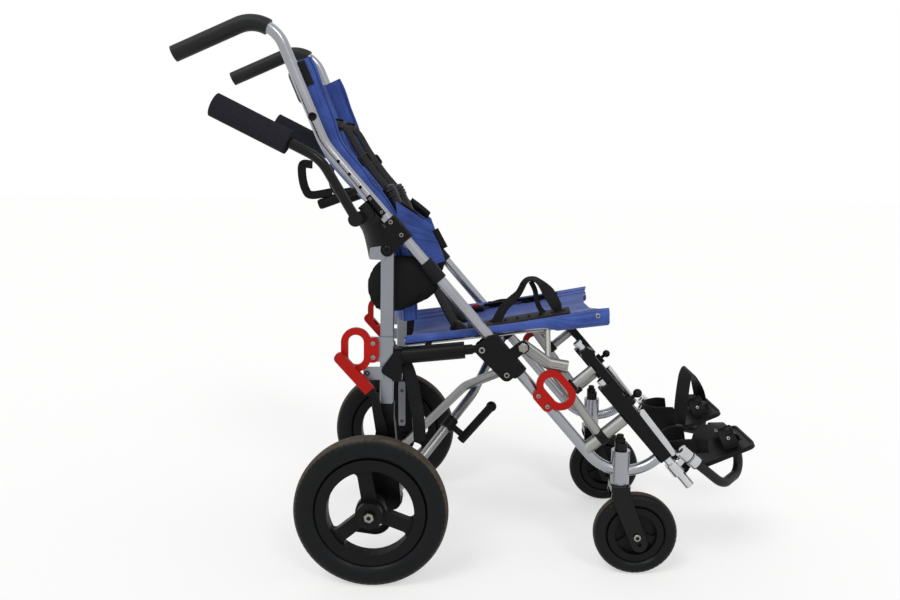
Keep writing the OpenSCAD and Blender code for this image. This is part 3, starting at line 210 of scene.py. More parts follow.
def on_side(sign, x, y, z):
    """Points in mm on one side of the buggy: y is measured inwards from the side tube's plane."""
    x, y, z = np.broadcast_arrays(np.asarray(x, float), np.asarray(y, float), np.asarray(z, float))
    return np.stack([x, sign * (side_y - y), z], -1)


def unit(rows):
    """Vectors scaled to a length of one."""
    return rows / np.linalg.norm(rows, axis=-1, keepdims=True)


def circle(count):
    """Rows of cosine and sine, evenly round a full turn."""
    turn = np.linspace(0, 2 * np.pi, count, endpoint=False)
    return np.stack([np.cos(turn), np.sin(turn)], -1)


def loft(rings, closed=False):
    """Points, quads and lengths along and round of a surface through rings of equal count. Each ring
    closes on itself; the end rings are filled with strips, or joined to each other where closed."""
    rings = np.asarray(rings, float)
    rows, cols = rings.shape[:2]
    i, j = np.meshgrid(np.arange(rows if closed else rows - 1), np.arange(cols), indexing="ij")
    corners = [(i, j), (i, j + 1), (i + 1, j + 1), (i + 1, j)]
    quads = np.stack([(a % rows) * cols + b % cols for a, b in corners], -1).reshape(-1, 4)
    round_step = np.linalg.norm(np.roll(rings, -1, 1) - rings, axis=2).mean(0)
    long_step = np.linalg.norm(np.roll(rings, -1, 0) - rings, axis=2).mean(1)
    u = np.append(0, np.cumsum(round_step)) / 1000
    v = np.append(0, np.cumsum(long_step)) / 1000
    lengths = np.stack([np.stack([u[b], v[a]], -1) for a, b in corners], 2).reshape(-1, 4, 2)
    if not closed:
        k = np.arange(cols // 2 - 1)
        cap = np.stack([k, k + 1, cols - 2 - k, cols - 1 - k], -1)
        quads = np.vstack([quads, cap[:, ::-1], cap + (rows - 1) * cols])
        lengths = np.vstack([lengths, np.zeros((2 * len(k), 4, 2))])
    points = rings.reshape(-1, 3)
    a, b, c, d = (points[quads[:, m]] for m in range(4))
    volume = np.einsum("ij,ij", a, np.cross(b, c) + np.cross(c, d))
    if volume < 0:
        quads, lengths = quads[:, ::-1], lengths[:, ::-1]
    return points, quads, lengths


def piece(name, lofts, paint, crease=38):
    """One object from lofts in mm from the rear axle: joins their points and quads, keeps their lengths
    in metres as the UV map, and shades it smooth up to a crease angle."""
    start = np.cumsum([0] + [len(p) for p, _, _ in lofts])
    points = np.vstack([p for p, _, _ in lofts]) - (axle_back, 0, 0)
    quads = np.vstack([q + s for (_, q, _), s in zip(lofts, start)])
    mesh = bpy.data.meshes.new(name)
    mesh.from_pydata(points / 1000, [], quads.tolist())
    mesh.uv_layers.new(name="lengths").data.foreach_set(
        "uv", np.vstack([w for _, _, w in lofts]).astype(np.float32).ravel())
    mesh.shade_smooth()
    mesh.set_sharp_from_angle(angle=math.radians(crease))
    mesh.materials.append(paint)
    obj = bpy.data.objects.new(name, mesh)
    link(obj)
    return obj


def fit(side, name, lofts, paint, body, crease=38):
    """One side's piece that rides on a body of that side."""
    obj = piece(f"{side}_{name}", lofts, paint, crease)
    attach(obj, f"{side}_{body}")
    return obj


def turned(profile, centre, axis, count=28, closed=False):
    """A profile, rows of radius and height, turned about an axis through a centre."""
    axis = unit(np.asarray(axis, float))
    first = unit(np.cross(axis, (0.31, 0.23, 0.92)))
    rim = circle(count) @ np.stack([first, np.cross(axis, first)])
    profile = np.asarray(profile, float)
    rings = np.asarray(centre) + profile[:, 0, None, None] * rim + profile[:, 1, None, None] * axis
    return loft(rings, closed)


def carry(path, profile, up):
    """A profile, rows of sideways and upward values, carried along a path: up is made square to the path
    at each point, and sideways is square to both."""
    path = np.asarray(path, float)
    heading = unit(np.gradient(path, axis=0))
    side = unit(np.cross(heading, np.broadcast_to(np.asarray(up, float), path.shape)))
    square = np.cross(side, heading)
    profile = np.asarray(profile, float)
    wide, tall = profile[..., 0, None], profile[..., 1, None]
    return loft(path[:, None] + wide * side[:, None] + tall * square[:, None])


def bar_profile(width, thick, corner, steps=3):
    """A rectangle with rounded corners, as rows of sideways and upward values, even in count."""
    arc = np.linspace(0, np.pi / 2, steps + 1)
    parts = [(sx * (width / 2 - corner), sy * (thick / 2 - corner), first)
             for sx, sy, first in ((1, 1, 0), (-1, 1, 1), (-1, -1, 2), (1, -1, 3))]
    return np.vstack([np.stack([cx + corner * np.cos(arc + k * np.pi / 2),
                                cy + corner * np.sin(arc + k * np.pi / 2)], -1) for cx, cy, k in parts])


def bolt(centre, axis, radius, rise, sink=2.0):
    """A domed screw head with a round recess, standing on a face by its rise."""
    shape = [(0.05, -0.6), (0.46, -0.6), (0.5, 0.92), (0.64, 1), (0.86, 0.85), (1, 0.4), (1, 0)]
    rows = [(radius * r, rise * h) for r, h in shape] + [(radius, -sink)]
    return turned(rows, centre, axis)


def screws(side, sign, name, places, paint, body, radius, rise):
    """One piece of screw heads that face outwards at places on one side."""
    heads = [bolt(on_side(sign, *place), (0, sign, 0), radius, rise) for place in places]
    fit(side, name, heads, paint, body)


lean_foot = np.array([495.0, 179.0])
lean_up = np.array([-0.65342, 0.75700])
lean_below = np.array([-0.75700, -0.65342])


def lean(along, drop=0.0):
    """x and z in mm of a point on the side tube's long lean, along it from its foot and below it."""
    along, drop = np.asarray(along, float)[..., None], np.asarray(drop, float)[..., None]
    return lean_foot + along * lean_up + drop * lean_below


# Moulded nylon: satin black with a grain drawn at 1.6 mm. Zinc plate: bright, a little warm.
black_plastic = finish("black moulded nylon", "#0a0a0b", "#131315", patch=25, rough=0.45, grit=1.6,
                       depth=0.03, shine=0.12)
zinc = finish("bright zinc plate", "#7c7a74", "#a09e97", patch=12, rough=0.3, metal=1.0)
tube_r = 11.1
plug_x, plug_z = -113.1, 911.0
plug_rows = [(0.5, 0.2), (3.8, 0.2), (4.4, 1.6), (6.8, 2.2), (8.0, 1.2), (8.2, -4)]
plate_ends, plate_screws = (771.0, 724.0), (764.0, 731.0)
plate_profile = bar_profile(width=11, thick=3.4, corner=1.2)
plate_out, plate_face = tube_r + 0.2, tube_r + 1.8
for side, sign in sides:
    out = (0, sign, 0)
    plug = turned(plug_rows, on_side(sign, plug_x, -tube_r, plug_z), out)
    fit(side, "handle_plug", [plug], black_plastic, "frame")
    x, z = lean(np.linspace(*plate_ends, 6)).T
    plate = carry(on_side(sign, x, -plate_out, z), plate_profile, out)
    fit(side, "slot_plate", [plate], black_plastic, "frame")
    places = [(x, -plate_face, z) for x, z in lean(plate_screws)]
    screws(side, sign, "slot_plate_screws", places, zinc, "frame", radius=3.2, rise=1.4)


# Push grips
# Black rubber sleeves pushed over the handle ends and half round the bend, with a closed rear end.
# Moulded rubber: nearly black and satin, with a fine even grain drawn at 1.8 mm.
rubber = finish("moulded rubber", "#131315", "#1e1f21", patch=40, rough=0.45, grit=1.8, depth=0.05, shine=0.2)
dress(rubber, "push_grip")


# Lower handles
# Bent steel tubes on round clamps outside the side tubes, each with a thick foam grip slid over it.
# Gloss powder coat: deep black, with a skin drawn at 3 mm. Foam rubber: blue-black, quite matt, with open
# pores drawn at 2.5 mm.
black_gloss = finish("gloss black powder coat", "#060607", "#0c0c0e", patch=50, rough=0.2, grit=3.0,
                     depth=0.03, shine=0.2)
foam = finish("closed cell foam", "#191a1f", "#28282f", patch=6, rough=0.92, grit=2.5, depth=0.5, shine=0.1)
dress(black_gloss, "lower_handle")
dress(foam, "lower_grip")


# Brackets
# Cast and pressed steel brackets that slide over the side tubes, bolted through their cheeks.
# Powder coat: dark, semi-matt, with a slight orange-peel skin drawn at 3 mm.
black_coat = finish("semi-matt black powder coat", "#08080a", "#111113", patch=45, rough=0.36, grit=3.0,
                    depth=0.06, shine=0.12)
dress(black_coat, "upper_bracket", "front_bracket")
cheek_out = 16.5
cheek_bolts = [(35.5, 713.5, 4.6), (56.0, 689.0, 4.6), (263.47, 415.09, 6.0), (213.95, 464.81, 7.0)]
pivot_x, pivot_z = 28.34, 659.95
knob_along, knob_up, knob_out = 354.0, 40.0, 28.5
knob_rows = [(0.05, 3.2), (8.2, 3.2), (9.8, 2.2), (10.4, 0), (10.4, -2)]
for side, sign in sides:
    out = (0, sign, 0)
    heads = [bolt(on_side(sign, x, -cheek_out, z), out, radius=r, rise=r / 2)
             for x, z, r in cheek_bolts]
    x, z = lean(knob_along, -knob_up)
    heads.append(turned(knob_rows, on_side(sign, x, -knob_out, z), out, count=6))
    fit(side, "bracket_bolts", heads, zinc, "frame")
    screws(side, sign, "pivot_screw", [(pivot_x, -cheek_out, pivot_z)], black_gloss, "frame", radius=9.0,
           rise=3.6)


# Rear legs
# Rectangular aluminium tubes that hang from the upper brackets and swing as the buggy folds. A pressed
# stop tab stands behind the top of each, and a drilled lug under its ring's backing plate.
# Brushed aluminium: grey metal whose sheen is broad; the brushing is drawn at 2.4 mm.
brushed = finish("brushed anodised aluminium", "#80838b", "#94979e", patch=80, rough=0.42, metal=1.0,
                 grit=2.4, depth=0.01)
dress(brushed, "rear_leg")


def cut_plate(sign, outline, near, far):
    """A flat plate: its outline in x and z is rounded off by averaging along it, and set at two depths."""
    k = np.linspace(0, len(outline), 8 * len(outline), endpoint=False)
    wrap = np.vstack([outline, outline[:1]]).astype(float)
    rim = np.stack([np.interp(k, np.arange(len(wrap)), wrap[:, m]) for m in (0, 1)], -1)
    rim = (np.roll(rim, 1, 0) + 2 * rim + np.roll(rim, -1, 0)) / 4
    return loft(np.stack([on_side(sign, rim[:, 0], y, rim[:, 1]) for y in (near, far)]))


leg_out, tab_out, lug_out = 12.6, 15.2, 15.4
stop_tab = [(-7, 641), (-5, 664), (24, 668), (24, 640)]
ring_lug = [(-20, 402), (-20, 428), (20, 428), (20, 402)]
lug_screw = (-12, -tab_out, 415)
for side, sign in sides:
    plates = [cut_plate(sign, stop_tab, -leg_out, -tab_out), cut_plate(sign, ring_lug, -leg_out, -lug_out)]
    fit(side, "leg_tabs", plates, brushed, "leg")
    screws(side, sign, "leg_screws", [lug_screw], black_gloss, "leg", radius=5, rise=1.2)


# Axle brackets and brakes
# Cast feet that carry the stub axles, each with a drilled bar screwed to its inner face, and brake levers
# whose pedal is dipped in red vinyl. The dip ends square across the lever, a little behind its knee.
def two_tone(name, first, second, normal, offset):
    """A satin finish that drifts between two tones, and between two others past a plane, where a point's
    distance along the normal is over the offset in mm; its skin is drawn at 3 mm."""
    paint, tree, shade, where = blank(name)
    patch, skin, skin_deep = 40, 3.0, 0.05
    far = add(tree, "ShaderNodeVectorMath", {0: where["Object"], 1: normal}, operation="DOT_PRODUCT")["Value"]
    step = add(tree, "ShaderNodeMath", {0: far, 1: offset / 1000}, operation="GREATER_THAN")[0]
    drift = add(tree, "ShaderNodeTexNoise",
                {"Vector": where["Object"], "Scale": 1000 / patch, "Detail": 4.0})[0]
    tones = [add(tree, "ShaderNodeMix", {0: drift, 6: hue(dark), 7: hue(light)}, data_type="RGBA")[2]
             for dark, light in (first, second)]
    tone = add(tree, "ShaderNodeMix", {0: step, 6: tones[0], 7: tones[1]}, data_type="RGBA")[2]
    fill(tree, shade, {"Base Color": tone, "Normal": grain(tree, where, skin, skin_deep), "Roughness": 0.4,
                       "Specular IOR Level": 0.12})
    return paint


dress(black_coat, "axle_bracket")
pedal_from, pedal_to, dip_from = np.array([4.0, 374.5]), np.array([-63.0, 449.5]), 14
pedal_way = unit(pedal_to - pedal_from)
pedal_edge = (pedal_from - (axle_back, 0)) @ pedal_way + dip_from
# Dipped vinyl over black coat: satin red that stops in a clean line.
dipped = two_tone("red dipped black lever", ("#08080a", "#111113"), ("#8f0f08", "#a5150c"),
                  (pedal_way[0], 0, pedal_way[1]), pedal_edge)
dress(dipped, "brake_pedal")
axle_z, axle_end = 152.5, 297.6
nut_rows = [(0.05, -1.5), (4.4, -1.5), (4.6, 0.4), (9.4, 0.4), (10.6, -0.6), (10.6, -4)]
height_bar = [(16, 187), (16, 300), (33.5, 300), (33.5, 187)]
bar_in, bar_face, bar_mid, bar_screws = 12.6, 16.4, 24.8, (199, 277)
for side, sign in sides:
    nut = turned(nut_rows, (0, sign * axle_end, axle_z), (0, sign, 0), count=6)
    fit(side, "axle_nut", [nut], zinc, "leg")
    fit(side, "height_bar", [cut_plate(sign, height_bar, bar_in, bar_face)], brushed, "leg")
    heads = [bolt(on_side(sign, bar_mid, bar_face - 0.2, z), (0, -sign, 0), radius=4.0, rise=1.0)
             for z in bar_screws]
    fit(side, "height_screws", heads, black_gloss, "leg")


# Tie-down rings
# Slotted steel rings, laser cut and held by two screws each to the side tubes and the rear legs.
# Red powder coat: even and satin, with a slight skin drawn at 3 mm.
red_coat = finish("red powder coat", "#980e09", "#aa160d", patch=50, rough=0.3, grit=3.0, depth=0.05,
                  shine=0.12)
dress(red_coat, "front_tie_ring", "rear_tie_ring")
front_ring_out, front_ring_screws = 19.3, (230.0, 258.0)
rear_ring_out, rear_ring_x, rear_ring_screws = 24.2, 0.9, (449.3, 477.2)
for side, sign in sides:
    places = [(x, -front_ring_out, z) for x, z in lean(front_ring_screws)]
    screws(side, sign, "front_ring_bolts", places, zinc, "frame", radius=5.2, rise=2.6)
    places = [(rear_ring_x, -rear_ring_out, z) for z in rear_ring_screws]
    screws(side, sign, "rear_ring_bolts", places, zinc, "leg", radius=5.2, rise=2.6)


# Rear wheels
# Twelve inch wheels: foam-filled black tyres on three-spoke moulded rims of glass-filled nylon. The tyres
# are rubber with a ribbed tread whose shoulders have picked up brown dust.
def squared(wave, power):
    """A wave between minus one and one, drawn out towards those ends by a power under one."""
    return np.sign(wave) * np.abs(wave) ** power


def tyre(side, name, body, radius, seat, half, mid, paint, sipes):
    """A tyre as a closed ring of sections, put for its solid: each section is a squared oval between the
    rim seat and the tread, with two grooves round the tread, sipes in the shoulders and a raised line
    on each wall."""
    turn = np.linspace(0, 2 * np.pi, 288, endpoint=False)[:, None]
    a = np.linspace(-np.pi / 2, 1.5 * np.pi, 56, endpoint=False)[None, :]
    middle, reach = (radius + seat) / 2, (radius - seat) / 2
    groove_deep, sipe_deep, line_rise = 1.4, 1.3, 0.9
    wide = half * squared(np.cos(a), 0.72)
    tall = middle + reach * squared(np.sin(a), 0.8)
    groove = sum(np.exp(-((wide - half * k) / (0.07 * half)) ** 2) for k in (-0.28, 0.28)) * (np.sin(a) > 0)
    ridge = np.exp(-((tall - (seat + 0.28 * (radius - seat))) / 1.3) ** 2)
    shoulder = np.exp(-((np.abs(wide) - 0.78 * half) / (0.17 * half)) ** 2) * (np.sin(a) > 0.3)
    cut = np.clip(4 * np.sin(sipes * turn) - 2.8, 0, 1)
    r = tall - groove_deep * groove - sipe_deep * cut * shoulder
    y = wide + line_rise * np.sign(wide) * ridge
    r, y, turn = np.broadcast_arrays(r, y, turn)
    rings = np.stack([mid[0] + r * np.cos(turn), mid[1] + y, mid[2] + r * np.sin(turn)], -1)
    skin = fit(side, f"{name}_skin", [loft(rings, closed=True)], paint, body, crease=50)
    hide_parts(f"{side}_{name}")


def tyre_paint(name, girth):
    """Rubber that is black on its walls and dusty brown on its shoulders and tread, by the length round
    the section: dust is full at half of the girth in mm, the tread, and fades before the walls. It is
    worn off in patches of 17 mm, and the grain is drawn at 2 mm."""
    paint, tree, shade, where = blank(name)
    patch_size, skin, skin_deep = 16.667, 2.0, 0.06
    parts = add(tree, "ShaderNodeSeparateXYZ", {0: where["UV"]})
    share = add(tree, "ShaderNodeMath", {0: parts[0], 1: 1000 / girth}, operation="MULTIPLY")[0]
    off = add(tree, "ShaderNodeMath", {0: share, 1: 0.5}, operation="SUBTRACT")[0]
    off = add(tree, "ShaderNodeMath", {0: off}, operation="ABSOLUTE")[0]
    dust = add(tree, "ShaderNodeMapRange", {"Value": off, "From Min": 0.165, "From Max": 0.14})[0]
    patch = add(tree, "ShaderNodeTexNoise",
                {"Vector": where["Object"], "Scale": 1000 / patch_size, "Detail": 5.0})[0]
    worn = add(tree, "ShaderNodeMapRange",
               {"Value": patch, "From Min": 0.3, "From Max": 0.6, "To Min": 0.45})[0]
    dusty = add(tree, "ShaderNodeMath", {0: dust, 1: worn}, operation="MULTIPLY")[0]
    walls = add(tree, "ShaderNodeMix", {0: patch, 6: hue("#0c0d0e"), 7: hue("#141517")}, data_type="RGBA")[2]
    tone = add(tree, "ShaderNodeMix", {0: dusty, 6: walls, 7: hue("#4c443b")}, data_type="RGBA")[2]
    gloss = add(tree, "ShaderNodeMapRange", {"Value": dusty, "To Min": 0.36, "To Max": 0.8})[0]
    fill(tree, shade, {"Base Color": tone, "Normal": grain(tree, where, skin, skin_deep), "Roughness": gloss,
                       "Specular IOR Level": 0.13})
    return paint


dress(black_plastic, "rear_rim")
rear_rubber = tyre_paint("rear tyre rubber", girth=132)
rear_r, rear_seat, rear_half, rear_y, rear_sipes = 152.4, 107.8, 19.8, 260, 72
for side, sign in sides:
    tyre(side, "rear_tyre", "wheel", rear_r, rear_seat, rear_half, (0, sign * rear_y, axle_z), rear_rubber,
         rear_sipes)


# Casters
# Swivelling front wheels: solid rubber tyres on moulded hubs with a thin web, in pressed steel forks.
# Each fork's stem turns in the housing on the side tube's toe, under a black knob.
caster_rubber = tyre_paint("caster tyre rubber", girth=92)
dress(black_gloss, "caster_fork")
dress(black_plastic, "caster_hub")
caster_x, caster_z, caster_r, caster_seat, caster_half, caster_sipes = 531.63, 85, 84.9, 56.8, 16.8, 48
web_rows = [(18.2, -1.2), (56.6, -1.2), (56.6, 1.2), (18.2, 1.2)]
stem_x, stem_top, fork_half = 494.7, 279.6, 27.2
stem_rows = [(0.1, 13), (5.5, 13), (7, 12), (7, 6), (9.5, 5), (10.5, 3), (10.5, -2)]
for side, sign in sides:
    hub = np.array([caster_x, sign * side_y, caster_z])
    tyre(side, "caster_tyre", "caster_wheel", caster_r, caster_seat, caster_half, hub, caster_rubber,
         caster_sipes)
    web = turned(web_rows, hub, (0, 1, 0), count=64, closed=True)
    fit(side, "caster_web", [web], black_plastic, "caster_wheel")
    knob = turned(stem_rows, (stem_x, sign * side_y, stem_top), (0, 0, 1), count=24)
    fit(side, "stem_knob", [knob], black_plastic, "frame")
    heads = [bolt(hub + (0, k * fork_half, 0), (0, k, 0), radius=7.5, rise=3.0) for k in (-1, 1)]
    fit(side, "caster_bolts", heads, zinc, "caster")


# Seat rails, braces and fold lever
# Struts from the rear legs to the front brackets in sewn black sleeves, and two crossed braces with a
# black lever on the lower one. Plain bands of yellow vinyl tape are wrapped round the feet of the braces.
# Drawn tube: plain grey metal, a little duller than the side tubes. Vinyl tape: even, soft shine.
steel = finish("bright drawn tube", "#7e7e7e", "#979797", patch=60, rough=0.34, metal=1.0, grit=2.0,
               depth=0.006)
yellow = finish("yellow vinyl tape", "#b99a12", "#cdae1e", patch=20, rough=0.4, shine=0.2)
dress(steel, "brace")
dress(black_coat, "seat_rail")
dress(black_plastic, "fold_lever")
brace_foot, brace_cross, brace_apart = np.array([36.0, 160.06, 147.5]), np.array([190.2, 0.0, 328.9]), 9.5
tape_at = (46, 62)
tape_rows = [(10.02, -7), (10.35, -7), (10.35, 7), (10.02, 7)]
for (side, sign), far in zip(sides, ("left", "right")):
    foot, cross = brace_foot * (1, sign, 1), brace_cross + (0, 0, sign * brace_apart)
    way = unit(cross - foot)
    tapes = [turned(tape_rows, foot + d * way, way, count=32, closed=True) for d in tape_at]
    fit(far, "brace_tape", tapes, yellow, "cross")


# Leg rests
# Cast links and posts, clamped to stubs on the side tubes, carry black channels; a chromed tube slides in
# each channel, beside a chromed guide. Cast aluminium, tumbled: a duller silver than the tubes, so that
# its bends show as soft shades. Chrome plate: a bright mirror.
chrome = finish("bright chrome plate", "#b3b5b7", "#cfd1d3", patch=30, rough=0.1, metal=1.0, spread=0.03)
cast = finish("tumbled cast aluminium", "#8b8b89", "#a2a29f", patch=60, rough=0.46, metal=1.0, grit=2.0,
              depth=0.004)
dress(cast, "legrest_support")
dress(black_coat, "legrest_hanger")
dress(chrome, "hanger_release", "legrest_slide")
# Each stub's place along the lean, its radius, and how far above the tube its clamp sits.
stubs = ((107.0, 13.1, 42.0), (226.0, 10.1, 60.0))
clamp_half, clamp_wall = 9, 3.2
guide_top, guide_foot, guide_r = (532.6, 0, 341.0), (603.3, 0, 251.8), 7.5
for side, sign in sides:
    rings = []
    for along, r, up in stubs:
        x, z = lean(along, -up)
        rows = [(r, -clamp_half), (r + clamp_wall, 1 - clamp_half), (r + clamp_wall, clamp_half - 1),
                (r, clamp_half)]
        rings.append(turned(rows, on_side(sign, x, 0, z), (-lean_below[0], 0, -lean_below[1]), closed=True))
    fit(side, "stub_clamps", rings, black_plastic, "frame")
    top, foot = on_side(sign, *guide_top), on_side(sign, *guide_foot)
    long = np.linalg.norm(foot - top)
    rows = [(0.1, 0), (guide_r - 2, 0), (guide_r, 2), (guide_r, long - 2), (guide_r - 2, long), (0.1, long)]
    guide = turned(rows, top, foot - top, count=32)
    fit(side, "slide_guide", [guide], chrome, "legrest")


# Footplates
# Black moulded plates with three slots, on bent arms in black rubber sleeves. Each arm flips up on the
# barrel of the chromed slide, with a chromed collar of its own next to a black seal on the barrel.
dress(rubber, "footplate_arm")
dress(black_plastic, "footplate")
barrel_mid, barrel_tilt = np.array([635.99, 0, 245.22]), math.radians(38.4)
barrel_way = np.array([math.cos(barrel_tilt), 0, -math.sin(barrel_tilt)])
collar_rows = [(13.45, 1.0), (14.0, 1.4), (14.0, 17.6), (13.45, 18)]
seal_rows = [(13.45, -1.2), (13.9, -1.4), (13.9, -3.4), (13.45, -3.6)]
for side, sign in sides:
    for name, rows, paint, body in (("arm_collar", collar_rows, chrome, "foot"),
                                    ("barrel_seal", seal_rows, black_plastic, "legrest")):
        ring = turned(rows, barrel_mid + (0, sign * side_y, 0), barrel_way, count=40, closed=True)
        fit(side, name, [ring], paint, body)


# Side pads
# Black padded side supports that hang inside the side tubes on a wide strap looped round the tube.
# Foam in black nylon cloth, sewn at the rim; the strap is of polyester webbing.
def woven(name, dark, light, thread, rough, shine, depth=0.3, streak=0.0, sheen=0.0):
    """Cloth whose threads cross at right angles along the UV lengths: two bands of a spacing in mm make
    the weave, streaks 3 mm wide and 111 mm long follow the warp, and the tone drifts over patches of
    45 mm."""
    paint, tree, shade, where = blank(name)
    patch, streak_wide, streak_long = 45.4545, 3.125, 111.111
    bands = [add(tree, "ShaderNodeTexWave",
                 {"Vector": where["UV"], "Scale": 100 * np.pi / thread, "Distortion": 1.2, "Detail": 1.0,
                  "Detail Scale": 2.0}, bands_direction=way)["Fac"] for way in "XY"]
    weave = add(tree, "ShaderNodeMath", {0: bands[0], 1: bands[1]}, operation="MULTIPLY")[0]
    drift = add(tree, "ShaderNodeTexNoise",
                {"Vector": where["Object"], "Scale": 1000 / patch, "Detail": 5.0})[0]
    long_way = add(tree, "ShaderNodeMapping",
                   {"Vector": where["UV"], "Scale": (1000 / streak_wide, 1000 / streak_long, 1.0)})[0]
    lines = add(tree, "ShaderNodeTexNoise", {"Vector": long_way, "Scale": 1.0, "Detail": 2.0})[0]
    share = add(tree, "ShaderNodeMix", {0: streak, 2: drift, 3: lines})[0]
    even = add(tree, "ShaderNodeMapRange", {"Value": share, "From Min": 0.3, "From Max": 0.7})[0]
    tone = add(tree, "ShaderNodeMix", {0: even, 6: hue(dark), 7: hue(light)}, data_type="RGBA")[2]
    fade = add(tree, "ShaderNodeMapRange", {"Value": weave, "To Min": 0.86, "To Max": 1.06})[0]
    crossed = add(tree, "ShaderNodeVectorMath", {0: tone, 3: fade}, operation="SCALE")[0]
    rise = add(tree, "ShaderNodeBump", {"Height": weave, "Distance": depth / 1000})[0]
    fill(tree, shade, {"Base Color": crossed, "Normal": rise, "Roughness": rough,
                       "Specular IOR Level": shine, "Sheen Weight": sheen})
    return paint


def plump(obj, cap, pressure=4.0, voxel=0.005):
    """Swells a closed mesh as a stuffed cover: it is remeshed in even voxels, blown up for 20 frames of
    cloth without gravity, and each point is then held to within a cap in mm of where it started."""
    for kind in ("REMESH", "CLOTH"):
        obj.modifiers.new(kind, kind)
    obj.modifiers["REMESH"].voxel_size = voxel
    bpy.context.view_layer.objects.active = obj
    bpy.ops.object.modifier_apply(modifier="REMESH")
    count = len(obj.data.vertices)
    before = np.empty(count * 3, np.float32)
    obj.data.vertices.foreach_get("co", before)
    stuffing = obj.modifiers["CLOTH"].settings
    stuffing.use_pressure = True
    stuffing.uniform_pressure_force = pressure
    stuffing.effector_weights.gravity = 0.0
    for tick in range(1, 21):
        bpy.context.scene.frame_set(tick)
    bpy.ops.object.modifier_apply(modifier="CLOTH")
    bpy.context.scene.frame_set(1)
    after = np.empty(count * 3, np.float32)
    obj.data.vertices.foreach_get("co", after)
    move = (after - before).reshape(-1, 3)
    size = np.linalg.norm(move, axis=1, keepdims=True)
    move *= np.minimum(1, cap / 1000 / np.maximum(size, 1e-9))
    obj.data.vertices.foreach_set("co", (before.reshape(-1, 3) + move).ravel())
    obj.data.shade_smooth()
    finer = obj.modifiers.new("finer", "SUBSURF")
    finer.levels = finer.render_levels = 1


# Nylon pack cloth and polyester webbing: black, with a slight sheen; their weaves are drawn at 3 mm.
pad_cloth = woven("black nylon pack cloth", "#09090a", "#131316", thread=3.0, rough=0.6, shine=0.12,
                  depth=0.25)
webbing = woven("black polyester webbing", "#0a0a0b", "#17171a", thread=3.2, rough=0.55, shine=0.14,
                depth=0.5)


def cushion(name, top, under, node, swell=5.0):
    """A stuffed pad between grids of its two faces, filled by a share and put for a solid."""
    pad = piece(name, [loft(np.concatenate([top, under[:, ::-1]], axis=1))], pad_cloth)
    plump(pad, swell)
    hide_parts(node)
    return pad


pad_mid, pad_half, pad_rise = (58.0, 592.0), (74.0, 57.0), 8.0
pad_base, pad_rim, pad_crown = 12.8, 4.0, 19.0
loop_at, loop_half, loop_t, loop_gap, loop_bulge = 580.0, 23.0, 2.2, 1.0, 13.0
# A pad is a square with rounded sides, crowned in the middle and taller behind.
v, u = np.meshgrid(np.linspace(-1, 1, 25), np.linspace(-1, 1, 25), indexing="ij")
pad_x = pad_mid[0] + pad_half[0] * u * np.sqrt(1 - 0.45 * v ** 2)
pad_z = pad_mid[1] + pad_rise * u + pad_half[1] * v * np.sqrt(1 - 0.45 * u ** 2) * (1 - 0.12 * u)
pad_y = pad_base + pad_rim + pad_crown * (1 - u ** 4) * (1 - v ** 4)
turn = np.linspace(0, 2 * np.pi, 64, endpoint=False)
loop_r = tube_r + loop_gap + loop_bulge * np.exp(-((turn - 0.9) / 0.55) ** 2)
for side, sign in sides:
    top, under = on_side(sign, pad_x, pad_y, pad_z), on_side(sign, pad_x, pad_base, pad_z)
    pad = cushion(f"{side}_side_cushion", top, under, f"{side}_side_pad")
    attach(pad, f"{side}_frame")
    walls = []
    for r, across_to in ((loop_r, 1), (loop_r + loop_t, -1)):
        along = loop_at + across_to * np.linspace(-loop_half, loop_half, 9)[:, None]
        spot = lean(along + 0 * turn, (r * np.cos(turn))[None, :] + 0 * along)
        walls.append(on_side(sign, spot[..., 0], r * np.sin(turn), spot[..., 1]))
    strap = loft(np.concatenate(walls), closed=True)
    fit(side, "pad_strap", [strap], webbing, "frame")


# Seat
# A sling of blue polyester canvas, cut in one piece and sewn into hems over the two seat tubes. It sags
# between them, is pleated at the rear, and its hems close under the tubes at the front.
# Canvas: matt blue, streaked along the warp; its weave is drawn at 2.6 mm.
canvas = woven("blue polyester canvas", "#213776", "#4963b2", thread=2.6, rough=0.8, shine=0.2,
               streak=0.45, sheen=0.2)
seat_rear, seat_tilt = np.array([59.339, 469.946]), math.radians(7.2)
seat_len, seat_y, hem_r, canvas_t = 412.0, 160.0, 11.2, 2.2
# Angles round the seat tube in degrees: where the hem leaves it inside, and where it ends underneath,
# behind and in front, with the share of the length where the one goes over into the other.
hem_inside, hem_rear, hem_front, hem_change, hem_rate = 76, 186, 354, 0.76, 40
seat_in_y = seat_y - hem_r * math.cos(math.radians(hem_inside))
seat_edge = hem_r * math.sin(math.radians(hem_inside))


def seat_lift(f):
    """How far the cloth stands over the tubes: up to 11 mm in front, where a stiffener bends it up."""
    return 11 * np.clip((f - 0.4) / 0.6, 0, 1) ** 1.3


def seat_height(f, y):
    """Height of the seat cloth over the seat tubes' line: a parabola between the hems that sags by 10 mm
    in front and 34 mm behind, with pleats that die out towards the front and a slow ripple."""
    s = np.clip(y / seat_in_y, -1, 1)
    sag = 10 + 24 * (1 - f) ** 2
    pleat = 4 * (1 - f) ** 2 * np.sin(3 * np.pi * s)
    ripple = 1.2 * np.sin(9 * f + 5 * s) * np.sin(7 * s + 2) + 0.5 * np.cos(4 * np.pi * s) * f
    return seat_lift(f) + seat_edge + (pleat + ripple - sag - 0.5 * seat_edge) * (1 - s ** 2)


def on_seat(f, y, up):
    """Points in mm a share along the seat tubes, at a side distance y and a height over their line."""
    f, y, up = np.broadcast_arrays(np.asarray(f, float), np.asarray(y, float), np.asarray(up, float))
    run = f * seat_len
    return np.stack([seat_rear[0] + run * math.cos(seat_tilt), y,
                     seat_rear[1] + run * math.sin(seat_tilt) + up], -1)


